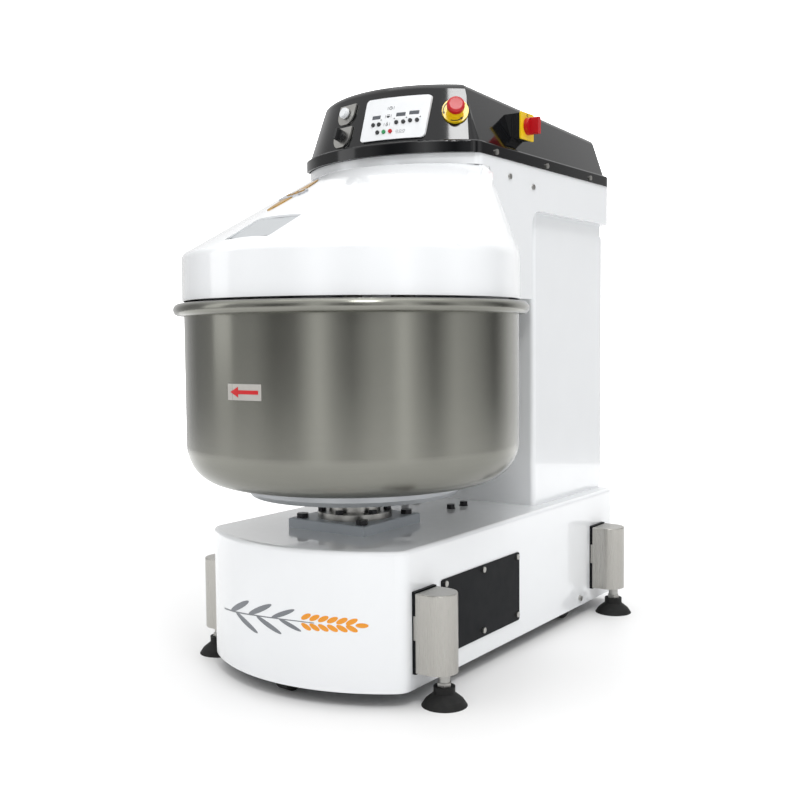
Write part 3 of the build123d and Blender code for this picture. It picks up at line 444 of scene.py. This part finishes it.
def finish_piece(piece, body, material, replaced=()):
    piece.data.materials.clear()
    piece.data.materials.append(MATERIALS[material])
    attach(piece, body)
    if replaced:
        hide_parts(*replaced)


def spin_profile(name, points, centre, steps):
    """A closed body of revolution about a vertical axis from its profile at x >= 0."""
    piece = trace(name, points)
    bpy.ops.object.mode_set(mode="EDIT")
    bpy.ops.mesh.select_all(action="SELECT")
    bpy.ops.mesh.spin(steps=steps, angle=math.tau, center=centre, axis=(0, 0, 1))
    bpy.ops.object.mode_set(mode="OBJECT")
    outward(piece)
    return piece


def arc(centre, radius, start, end, count):
    """Points on an arc in the XZ plane, angles in degrees from +X."""
    angles = [math.radians(start + (end - start) * i / count) for i in range(count + 1)]
    return [(centre[0] + radius * math.cos(a), centre[1], centre[2] + radius * math.sin(a))
            for a in angles]


def lay_on(piece, target, axis, positive, thick):
    """Presses a flat shape onto a surface along one axis and gives it its thickness."""
    active(piece)
    bpy.ops.object.mode_set(mode="EDIT")
    bpy.ops.mesh.select_all(action="SELECT")
    bpy.ops.mesh.quads_convert_to_tris()
    bpy.ops.mesh.subdivide(number_cuts=3)
    bpy.ops.object.mode_set(mode="OBJECT")
    wrap = {"target": target, "wrap_method": "PROJECT", "wrap_mode": "ABOVE_SURFACE",
            "use_positive_direction": positive, "use_negative_direction": not positive,
            "offset": 0.15 * MM, "use_project_" + axis: True}
    if axis != "z":
        wrap["use_project_z"] = False
    apply_modifier(piece, "SHRINKWRAP", **wrap)
    apply_modifier(piece, "SOLIDIFY", thickness=thick, offset=0)
    outward(piece)
    return piece


def oval(name, centre, wide, high, turn=0.0, count=24, upright=True):
    """A flat filled oval, upright (facing -Y) or level, turned in its own plane."""
    points = []
    for i in range(count):
        a = math.tau * i / count
        u, v = wide / 2 * math.cos(a), high / 2 * math.sin(a)
        u, v = u * math.cos(turn) - v * math.sin(turn), u * math.sin(turn) + v * math.cos(turn)
        points.append((centre[0] + u, centre[1] + (0 if upright else v), centre[2] + (v if upright else 0)))
    return trace(name, points, close=True)


def outline(name, corners, centre, upright=True):
    """A flat filled outline from corners in its own plane."""
    points = [(centre[0] + u, centre[1] + (0 if upright else v), centre[2] + (v if upright else 0))
              for u, v in corners]
    return trace(name, points, close=True)


# ---------------------------------------------------------------- pieces

class MIXER_OT_stage(bpy.types.Operator):
    """Pale floor and backdrop, softboxes and the camera"""
    bl_idname = "mixer.stage"
    bl_label = "Stage"

    def execute(self, context):
        stage = context.scene.mixer_stage
        deselect()
        bpy.ops.mesh.primitive_circle_add(vertices=96, radius=stage.floor, fill_type="NGON")
        floor = context.object
        floor.name = "floor"
        material, tree, shader, place = new_material("studio_floor")
        setting(shader, Base_Color=linear("#F4F4F4"), Roughness=0.5, Emission_Color=(1, 1, 1, 1))
        away = add(tree, "VectorMath", [(0, place, "Object")], operation="LENGTH")
        glow = ranged(tree, away, "Value", 0.0, stage.floor_glow, GLOW_FROM, GLOW_FULL)
        tree.links.new(glow.outputs[0], shader.inputs["Emission Strength"])
        floor.data.materials.append(material)
        for name, (place, size) in SOFTBOXES.items():
            self.light(name + "_softbox", place, size, getattr(stage, name))
        self.world(stage.world)
        self.camera(stage)
        context.scene.view_settings.view_transform = "Standard"
        return {"FINISHED"}

    def light(self, name, place, size, power):
        bpy.ops.object.light_add(type="AREA", location=place)
        lamp = bpy.context.object
        lamp.name = name
        lamp.data.shape = "RECTANGLE"
        lamp.data.size, lamp.data.size_y = size
        lamp.data.energy = power
        aim = Vector((0, 0, AIM_HEIGHT)) - Vector(place)
        lamp.rotation_euler = aim.to_track_quat("-Z", "Y").to_euler()

    def world(self, strength):
        """A pale room with darker stretches between its bright walls, for the metal to mirror."""
        world = bpy.data.worlds.new("studio")
        bpy.context.scene.world = world
        world.use_nodes = True
        tree = world.node_tree
        tree.nodes.clear()
        place = add(tree, "TexCoord")
        split = add(tree, "SeparateXYZ", [("Vector", place, "Generated")])
        turn = add(tree, "Math", [(0, split, "Y"), (1, split, "X")], operation="ARCTAN2")
        around = ranged(tree, turn, 0, 0, 1, -math.pi, math.pi)
        walls = add(tree, "ValToRGB", [("Fac", around, 0)])
        ramp = walls.color_ramp
        ramp.elements[0].position, ramp.elements[1].position = 0.0, 1.0
        for position, _ in WALLS[1:-1]:
            ramp.elements.new(position)
        for element, (_, grey) in zip(ramp.elements, WALLS):
            element.color = (grey, grey, grey, 1)
        height = ranged(tree, split, "Z", 0, 1, CEILING_FROM, CEILING_FULL)
        ceiling = add(tree, "Mix", [(0, height, 0), (6, walls, "Color")], data_type="RGBA")
        ceiling.inputs[7].default_value = (0.8, 0.8, 0.8, 1)
        lit = add(tree, "LightPath")
        white = add(tree, "Mix", [(0, lit, "Is Camera Ray"), (6, ceiling, 2)], data_type="RGBA")
        white.inputs[7].default_value = (2, 2, 2, 1)
        ground = add(tree, "Background", [("Color", white, 2)], Strength=strength * 2)
        output = tree.nodes.new("ShaderNodeOutputWorld")
        tree.links.new(ground.outputs[0], output.inputs["Surface"])

    def camera(self, stage):
        """Turned about the vertical, tilted down and rolled, in that order."""
        c, s = math.cos(stage.turn), math.sin(stage.turn)
        ahead = Vector((-s * math.cos(stage.tilt), c * math.cos(stage.tilt), -math.sin(stage.tilt)))
        right = Vector((c, s, 0))
        up = right.cross(ahead)
        cr, sr = math.cos(stage.roll), math.sin(stage.roll)
        axes = Matrix((cr * right + sr * up, -sr * right + cr * up, -ahead)).transposed().to_4x4()
        spot = Vector(stage.place) + Vector((0, BOWL_Y, 0))
        bpy.ops.object.camera_add()
        camera = bpy.context.object
        camera.matrix_world = Matrix.Translation(spot) @ axes
        camera.data.lens, camera.data.sensor_width = stage.lens, 36
        camera.data.clip_end = 200
        bpy.context.scene.camera = camera


class MIXER_OT_finishes(bpy.types.Operator):
    """Gives every part of the frame its finish"""
    bl_idname = "mixer.finishes"
    bl_label = "Finishes"

    def execute(self, context):
        MATERIALS.update(make_materials(context.scene.mixer_colours))
        slots = {s["node"]: s["material_slot"] for s in frame["record"]["subparts"]}
        own = {"leg_housings": "leg_steel", "side_panel": "dark_sheet", "leg_brackets": "dark_sheet",
               "spiral_tool": "tool_steel", "breaker_bar": "tool_steel", "spiral_motor": "motor_alloy",
               "bowl_motor": "motor_alloy", "bowl_support_disc": "cast_alloy",
               "base_fasteners": "black_bolt"}
        for name, node in NODES.items():
            material = MATERIALS[own.get(name, slots[name])]
            node.data.materials.clear()
            node.data.materials.append(material)
        for name in NODES:
            if name.endswith("_foot"):
                self.two_tone(NODES[name], "bright_steel", FOOT_COLLAR)
            if name.endswith("_caster_wheel"):
                self.hub(NODES[name])
        return {"FINISHED"}

    def two_tone(self, node, upper, height):
        """Above this height the node is of another material."""
        node.data.materials.append(MATERIALS[upper])
        for face in node.data.polygons:
            face.material_index = 1 if face.center.z > height else 0

    def hub(self, node):
        """A wheel's flat sides inside its tyre are grey nylon."""
        node.data.materials.append(MATERIALS["grey_steel"])
        low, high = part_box(node.name)
        centre = (low + high) / 2
        for face in node.data.polygons:
            away = math.hypot(face.center.y - centre.y, face.center.z - centre.z)
            face.material_index = 1 if away < (high.z - low.z) * 0.3 else 0


class MIXER_OT_bowl(bpy.types.Operator):
    """The spun bowl with its rolled rim, and the turning arrow on it"""
    bl_idname = "mixer.bowl"
    bl_label = "Bowl"

    def execute(self, context):
        sizes = context.scene.mixer_sizes
        rim, bead, wall, bend = BOWL_HIGH.x, sizes.bead, sizes.wall, sizes.bowl_bend
        outer = rim - 2 * bead + 4.2 * MM
        bead_z = BOWL_HIGH.z - bead
        floor_z = BOWL_LOW.z
        y = BOWL_Y
        inner = outer - wall
        bend_c = (outer - bend, y, floor_z + bend)
        profile = [(0, y, floor_z)]
        profile += arc(bend_c, bend, -90, 0, 12)
        join_z = bead_z - math.sqrt(bead ** 2 - (rim - bead - outer) ** 2)
        profile += [(outer, y, bead_z - 60 * MM), (outer, y, join_z - 2 * MM)]
        start = math.degrees(math.atan2(join_z - bead_z, outer - (rim - bead)))
        profile += arc((rim - bead, y, bead_z), bead, start, start + 322, 22)
        profile += [(inner, y, bead_z - 6 * MM), (inner, y, bead_z - 60 * MM)]
        profile += arc(bend_c, bend - wall, 0, -90, 12)
        profile.append((0, y, floor_z + wall))
        bowl = spin_profile("bowl_body", profile, (0, y, 0), sizes.steps)
        smooth(bowl, 40)
        finish_piece(bowl, "bowl", "stainless", ["bowl"])
        self.arrow(sizes, bowl)
        return {"FINISHED"}

    def arrow(self, sizes, bowl):
        """A vinyl arrow on a pale backing strip, pointing the way that the bowl turns."""
        size = sizes.arrow
        centre = (ARROW_X, BOWL_LOW.y - 0.1, ARROW_Z)
        head, shaft, tip = size * 0.15, size * 0.055, size * 0.3
        corners = [(-size / 2, 0), (-size / 2 + tip, -head), (-size / 2 + tip, -shaft),
                   (size / 2, -shaft), (size / 2, shaft), (-size / 2 + tip, shaft), (-size / 2 + tip, head)]
        strip = [(-size * 0.6, -head * 1.5), (size * 0.6, -head * 1.5), (size * 0.6, head * 1.5),
                 (-size * 0.6, head * 1.5)]
        backing = lay_on(outline("arrow_backing", strip, centre), bowl, "y", True, 0.1 * MM)
        finish_piece(backing, "bowl", "clear_vinyl")
        mark = lay_on(outline("turning_arrow", corners, centre), backing, "y", True, sizes.print_high)
        finish_piece(mark, "bowl", "red_vinyl")


class MIXER_OT_hood(bpy.types.Operator):
    """The lifting guard over the bowl: one pressed sheet with rounded ridges"""
    bl_idname = "mixer.hood"
    bl_label = "Guard"

    def execute(self, context):
        sizes = context.scene.mixer_sizes
        hood = self.skin(sizes)
        self.pocket_hole(hood)
        finish_piece(hood, "hood", "white_paint", ["hood"])
        # the chute's walls and floor are given painted shade, a darker grey copy of the guard's white paint
        finish_piece(self.chute(sizes), "hood", "chute_paint")
        finish_piece(self.arms(), "hood", "white_paint")
        self.badge(hood)
        return {"FINISHED"}

    def slope_z(self, sizes, x, y):
        """Height of the guard's sloping front at a place."""
        foot = -math.sqrt(HOOD_HIGH.x ** 2 - x ** 2)
        head = TOP_Y + TOP_BEND - math.sqrt(TOP_BEND ** 2 - x ** 2)
        return sizes.crease + (HOOD_HIGH.z - sizes.crease) * (y - foot) / (head - foot)

    def pocket_hole(self, hood):
        """The feed opening through the slope, with rounded corners."""
        (x0, x1), (y0, y1) = POCKET_X, POCKET_Y
        deselect()
        bpy.ops.mesh.primitive_cube_add(size=1, location=((x0 + x1) / 2, BOWL_Y + (y0 + y1) / 2, 1.0),
                                        scale=(x1 - x0, y1 - y0, 0.13))
        cutter = bpy.context.object
        bpy.ops.object.transform_apply(location=True, rotation=True, scale=True)
        weight = cutter.data.attributes.new("bevel_weight_edge", "FLOAT", "EDGE")
        for edge in cutter.data.edges:
            a, b = (cutter.data.vertices[i].co for i in edge.vertices)
            weight.data[edge.index].value = 1.0 if abs(a.z - b.z) > 0.1 else 0.0
        apply_modifier(cutter, "BEVEL", limit_method="WEIGHT", width=7 * MM, segments=5)
        apply_modifier(hood, "BOOLEAN", object=cutter, operation="DIFFERENCE", solver="EXACT")
        bpy.data.objects.remove(cutter)
        smooth(hood, 35)

    def chute(self, sizes):
        """Walls round the feed opening and the inclined floor that sends flour to the bowl."""
        # walls and floor alike carry painted shade: a darker grey copy of the white paint
        (x0, x1), (y0, y1) = POCKET_X, POCKET_Y
        lip = 2.5 * MM
        corners = ((x0, y0), (x1, y0), (x1, y1), (x0, y1))
        top = [(x, y, self.slope_z(sizes, x, y) - lip) for x, y in corners]
        walls = []
        for a, b in zip(top, top[1:] + top[:1]):
            wall = [a, b, (b[0], b[1], CHUTE_FOOT), (a[0], a[1], CHUTE_FOOT)]
            walls.append(trace("chute_wall", [(x, BOWL_Y + y, z) for x, y, z in wall], close=True))
        back = self.slope_z(sizes, 0, y1) - 6 * MM
        front = self.slope_z(sizes, 0, PLATE_FRONT) - PLATE_DROP
        floor = [(x0, y1, back), (x1, y1, back), (x1, PLATE_FRONT, front), (x0, PLATE_FRONT, front)]
        walls.append(trace("chute_floor", [(x, BOWL_Y + y, z) for x, y, z in floor], close=True))
        for wall in walls:
            apply_modifier(wall, "SOLIDIFY", thickness=2 * MM, offset=0)
        piece = join("feed_chute", walls)
        outward(piece)
        apply_modifier(piece, "BEVEL", width=0.6 * MM, segments=2)
        return piece

    def arms(self):
        """Two gussets inside the guard's top edge that carry its hinge eyes."""
        pin = JOINTS["hood_lift"]["pos_m"]
        arms = []
        for x in (-HINGE_X, HINGE_X):
            side = x - ARM_HALF
            eye = [(side, pin[1] + EYE_R * math.cos(a), pin[2] + EYE_R * math.sin(a))
                   for a in (math.radians(90 - 18 * i) for i in range(11))]
            tail = [(side, BOWL_Y + 38 * MM, pin[2] - EYE_R), (side, BOWL_Y + 15 * MM, pin[2] - 2 * MM),
                    (side, BOWL_Y + 32 * MM, pin[2] + 10 * MM)]
            arm = trace("hinge_arm", eye + tail, close=True)
            bpy.ops.object.mode_set(mode="EDIT")
            bpy.ops.mesh.extrude_region_move(TRANSFORM_OT_translate={"value": (2 * ARM_HALF, 0, 0)})
            bpy.ops.object.mode_set(mode="OBJECT")
            arms.append(arm)
        piece = join("hinge_arms", arms)
        outward(piece)
        apply_modifier(piece, "BEVEL", width=1 * MM, segments=2, limit_method="ANGLE")
        smooth(piece, 40)
        return piece

    def rows(self, sizes):
        """Outlines of the guard from foot to top, each a list of points from left to right."""
        y, radius = BOWL_Y, HOOD_HIGH.x
        seam = math.atan2(HOOD_HIGH.y - y, math.sqrt(radius ** 2 - (HOOD_HIGH.y - y) ** 2))
        ridge = RIDGE_TURN
        top_y, corner_y, seam_y = y + TOP_Y, y + TOP_CORNER, y + TOP_SEAM
        half, bend = SHELL_HALF, TOP_BEND
        open_angle = math.asin(half / bend)
        flank, front = 14, 72       # segments along a flank, and across the front
        turns = [seam + (ridge - seam) * i / flank for i in range(flank)]
        turns += [ridge + (-math.pi - 2 * ridge) * i / front for i in range(front + 1)]
        turns += [-math.pi - ridge - (seam - ridge) * (i + 1) / flank for i in range(flank)]
        ring = [Vector((radius * math.cos(a), y + radius * math.sin(a), 0)) for a in turns]
        top = [Vector((half, seam_y + (corner_y - seam_y) * i / flank, 0)) for i in range(flank)]
        swings = [open_angle * (1 - 2 * i / front) for i in range(front + 1)]
        top += [Vector((bend * math.sin(a), top_y + bend - bend * math.cos(a), 0)) for a in swings]
        top += [Vector((-half, corner_y + (seam_y - corner_y) * (i + 1) / flank, 0)) for i in range(flank)]
        foot, crease, peak = HOOD_LOW.z, sizes.crease, HOOD_HIGH.z
        levels = [foot, (foot + crease) / 2, crease]
        outlines = [[Vector((p.x, p.y, z)) for p in ring] for z in levels]
        count = 12
        for i in range(1, count + 1):
            part = i / count
            z = crease + (peak - crease) * part
            outlines.append([Vector((*(a.lerp(b, part)).xy, z)) for a, b in zip(ring, top)])
        return outlines, flank, len(levels) - 1

    def skin(self, sizes):
        """The pressed sheet: a grid through the outlines, its ridges rounded, then its thickness."""
        outlines, flank, crease_row = self.rows(sizes)
        wide, high = len(outlines[0]), len(outlines)
        deselect()
        bpy.ops.mesh.primitive_grid_add(x_subdivisions=wide - 1, y_subdivisions=high - 1, size=1)
        hood = bpy.context.object
        hood.name = hood.data.name = "guard_hood"
        ordered = sorted(hood.data.vertices, key=lambda v: (round(v.co.y, 5), round(v.co.x, 5)))
        for vertex, place in zip(ordered, [p for row in outlines for p in row]):
            vertex.co = place
        ridges = {flank, wide - 1 - flank}
        index = {v.index: (n % wide, n // wide) for n, v in enumerate(ordered)}
        weight = hood.data.attributes.new("bevel_weight_edge", "FLOAT", "EDGE")
        for edge in hood.data.edges:
            (ca, ra), (cb, rb) = (index[v] for v in edge.vertices)
            if ca == cb and ca in ridges and min(ra, rb) >= crease_row:
                weight.data[edge.index].value = 1.0
            if ra == rb == crease_row:
                weight.data[edge.index].value = 0.4
        outward(hood)
        if min(hood.data.polygons, key=lambda face: face.center.y).normal.y > 0:
            hood.data.flip_normals()
        apply_modifier(hood, "BEVEL", limit_method="WEIGHT", width=sizes.ridge_round, segments=8,
                       profile=0.5, use_clamp_overlap=False)
        apply_modifier(hood, "SOLIDIFY", thickness=sizes.sheet, offset=-1)
        smooth(hood, 35)
        return hood

    def badge(self, hood):
        """A plain oval medallion on a slim bar, without letters."""
        centre = (BADGE_X, BOWL_Y + BADGE_Y, HOOD_HIGH.z + 0.05)
        bar = oval("badge_bar", centre, 30 * MM, 172 * MM, 0, 32, False)
        finish_piece(lay_on(bar, hood, "z", False, 3.5 * MM), "hood", "gold_foil")
        disc = lay_on(oval("badge_disc", centre, 76 * MM, 46 * MM, 0, 32, False), hood, "z", False, 5 * MM)
        finish_piece(disc, "hood", "silver_foil")
        grains = []
        for turn in (-50, 0, 50):
            a = math.radians(turn)
            spot = (centre[0] + 15 * MM * math.sin(a) * 1.4, centre[1] + 4 * MM * math.cos(a), centre[2])
            grains.append(oval("badge_grain", spot, 9 * MM, 24 * MM, -a, 16, False))
        relief = lay_on(join("badge_grains", grains), disc, "z", False, 2 * MM)
        finish_piece(relief, "hood", "gold_foil")


class MIXER_OT_motif(bpy.types.Operator):
    """A printed ear of wheat across the front of the base"""
    bl_idname = "mixer.motif"
    bl_label = "Wheat motif"

    def execute(self, context):
        high = context.scene.mixer_sizes.print_high
        base, y, z = NODES["base_shell"], BASE_FRONT - 0.1, MOTIF_Z
        # stalk: (place along it, height, width), thinning towards the ear
        stem = [(-184, -15, 3.4), (-120, -9, 3), (-60, -3, 2.6), (0, 1, 2.3), (60, 3, 2), (100, 3, 1.6)]
        upper = [(x * MM, (v + w / 2) * MM) for x, v, w in stem]
        lower = [(x * MM, (v - w / 2) * MM) for x, v, w in reversed(stem)]
        grey = [outline("stalk", upper + lower, (0, y, z))]
        # leaves: (foot x, foot height, length, width, turn in degrees)
        for x, v, long, wide, turn in ((-150, -12, 82, 13, 26), (-128, -9, 86, 12, -21),
                                       (-78, -4, 80, 12, 24), (-52, -3, 78, 11, -20),
                                       (-6, 1, 66, 10, 22), (14, 2, 60, 9, -19)):
            a = math.radians(turn)
            spot = ((x + long / 2 * math.cos(a)) * MM, y, z + (v + long / 2 * math.sin(a)) * MM)
            grey.append(oval("leaf", spot, long * MM, wide * MM, a, 20))
        stalk = lay_on(join("wheat_stalk", grey), base, "y", True, high)
        finish_piece(stalk, "machine", "grey_ink")
        grains = []
        for i in range(6):
            for side in (-1, 1):
                a = math.radians(side * 27)
                x, v = 82 + i * 19, 4 + side * (10.5 - i * 0.7)
                grains.append(oval("grain", (x * MM, y, z + v * MM), 25 * MM, 10.5 * MM, a, 16))
        grains.append(oval("grain", (196 * MM, y, z + 4 * MM), 24 * MM, 10 * MM, 0, 16))
        ear = lay_on(join("wheat_ear", grains), base, "y", True, high)
        finish_piece(ear, "machine", "amber_ink")
        return {"FINISHED"}


class MIXER_OT_prints(bpy.types.Operator):
    """Pictograms on the control panel, and the marks on both yellow plates"""
    bl_idname = "mixer.prints"
    bl_label = "Prints"

    def execute(self, context):
        self.panel_icons()
        self.stop_marks()
        self.switch_marks()
        return {"FINISHED"}

    def ring(self, name, centre, r, width):
        turn = [math.tau * i / 20 for i in range(21)]
        corners = [(r * math.cos(a), r * math.sin(a)) for a in turn]
        corners += [((r - width) * math.cos(a), (r - width) * math.sin(a)) for a in reversed(turn)]
        return outline(name, [(u * MM, v * MM) for u, v in corners], centre)

    def bar(self, name, centre, wide, high):
        u, v = wide / 2 * MM, high / 2 * MM
        return outline(name, [(-u, -v), (u, -v), (u, v), (-u, v)], centre)

    def panel_icons(self):
        """A clock, a bowl, a hook and level marks: plain pictograms between the keys."""
        y = PANEL_FRONT - 0.05

        def at(x, z):
            return (x * MM, y, z * MM)
        dark = []
        # timer over the displays: clock face with two hands, and brackets
        dark += [self.ring("clock", at(57, 1273), 4.2, 1.0), self.bar("hand", at(57, 1274.4), 0.9, 3.4),
                 self.bar("hand", at(58.2, 1272.9), 2.6, 0.9)]
        for side in (-1, 1):
            dark.append(self.bar("bracket", at(57 + side * 7.5, 1273), 0.9, 7))
            dark.append(self.bar("bracket", at(54 + side * 7, 1235), 0.8, 7))
            dark.append(self.bar("bracket", at(54 + side * 7, 1254), 0.8, 7))
        # bowl with a lid bar over it
        cup = [(4.4 * math.cos(a), 4.4 * math.sin(a)) for a in
               (math.radians(180 + 18 * i) for i in range(11))]
        dark.append(outline("bowl_icon", [(u * MM, v * MM) for u, v in cup], at(54, 1255)))
        dark.append(self.bar("lid", at(54, 1257.4), 7.4, 1.0))
        # hook
        dark += [self.ring("hook", at(54, 1234), 3.0, 1.2), self.bar("shank", at(54, 1238.6), 1.3, 4.2)]
        # level triangles under the displays' ends
        for x in (37, 70, 98.5, 129):
            corners = [(-1.8, -1.4), (1.8, -1.4), (0, 1.8)]
            dark.append(outline("level", [(u * MM, v * MM) for u, v in corners], at(x, 1247.5)))
        icons = lay_on(join("panel_icons", dark), NODES["control_panel"], "y", True, 0.3 * MM)
        finish_piece(icons, "machine", "dark_ink")
        pale = [self.ring("lamp", at(82 + 8 * i, 1217), 2.9, 0.9) for i in range(3)]
        pale += [self.bar("underline", at(90, 1212.2), 20, 0.7)]
        marks = lay_on(join("panel_marks", pale), NODES["control_panel"], "y", True, 0.3 * MM)
        finish_piece(marks, "machine", "grey_ink")

    def stop_marks(self):
        """Three turning arrows round the mushroom, the way that releases it."""
        low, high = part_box("estop_plate")
        out = -Vector(JOINTS["estop_press"]["axis"])
        side = Vector((-out.y, out.x, 0)).normalized()
        up = out.cross(side)
        centre = (low + high) / 2
        arrows = []
        for k in range(3):
            start = math.radians(120 * k + 10)
            inner, outer, mid = 23.4, 25.6, 24.5
            sweep = [start + math.radians(7 * i) for i in range(9)]
            tip = sweep[-1] + math.radians(17)
            corners = [(outer, a) for a in sweep] + [(27.6, sweep[-1]), (mid, tip), (21.6, sweep[-1])]
            corners += [(inner, a) for a in reversed(sweep)]
            points = [centre + (side * math.cos(a) + up * math.sin(a)) * r * MM - Vector((0, 0.03, 0))
                      for r, a in corners]
            arrows.append(trace("release", [tuple(p) for p in points], close=True))
        marks = lay_on(join("release_arrows", arrows), NODES["estop_plate"], "y", True, 0.3 * MM)
        finish_piece(marks, "machine", "dark_ink")

    def switch_marks(self):
        """Off and on marks above and beside the rotary handle."""
        low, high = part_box("main_switch_plate")
        x, y, z = high.x + 0.02, (low.y + high.y) / 2, (low.z + high.z) / 2
        off = []
        turn = [math.tau * i / 16 for i in range(17)]
        for r in (3.4, 2.2):
            off += [(x, y + r * MM * math.cos(a), z + 26 * MM + r * MM * math.sin(a))
                    for a in (turn if r > 3 else reversed(turn))]
        bar = ((-0.7, -3.6), (0.7, -3.6), (0.7, 3.6), (-0.7, 3.6))
        on = [(x, y + 26 * MM + u * MM, z + v * MM) for u, v in bar]
        marks = join("switch_marks", [trace("off", off, close=True), trace("on", on, close=True)])
        lay_on(marks, NODES["main_switch_plate"], "x", False, 0.3 * MM)
        finish_piece(marks, "machine", "dark_ink")


PIECES = ("stage", "finishes", "bowl", "hood", "motif", "prints")


class MIXER_PT_pieces(bpy.types.Panel):
    """Lists the mixer's pieces and settings"""
    bl_label = "Spiral dough mixer"
    bl_idname = "MIXER_PT_pieces"
    bl_space_type = "VIEW_3D"
    bl_region_type = "UI"
    bl_category = "Mixer"

    def draw(self, context):
        for piece in PIECES:
            self.layout.operator("mixer." + piece)
        for group in (context.scene.mixer_sizes, context.scene.mixer_colours, context.scene.mixer_stage):
            for key in group.bl_rna.properties.keys():
                if key not in ("rna_type", "name"):
                    self.layout.prop(group, key)


GROUPS = (MixerColours, MixerSizes, MixerStage)
CLASSES = GROUPS + (MIXER_OT_stage, MIXER_OT_finishes, MIXER_OT_bowl, MIXER_OT_hood, MIXER_OT_motif,
                    MIXER_OT_prints, MIXER_PT_pieces)


def register():
    for item in CLASSES:
        bpy.utils.register_class(item)
    bpy.types.Scene.mixer_colours = PointerProperty(type=MixerColours)
    bpy.types.Scene.mixer_sizes = PointerProperty(type=MixerSizes)
    bpy.types.Scene.mixer_stage = PointerProperty(type=MixerStage)


def unregister():
    for name in ("mixer_colours", "mixer_sizes", "mixer_stage"):
        delattr(bpy.types.Scene, name)
    for item in reversed(CLASSES):
        bpy.utils.unregister_class(item)


def main():
    register()
    for piece in PIECES:
        getattr(bpy.ops.mixer, piece)()


if __name__ == "__main__":
    main()
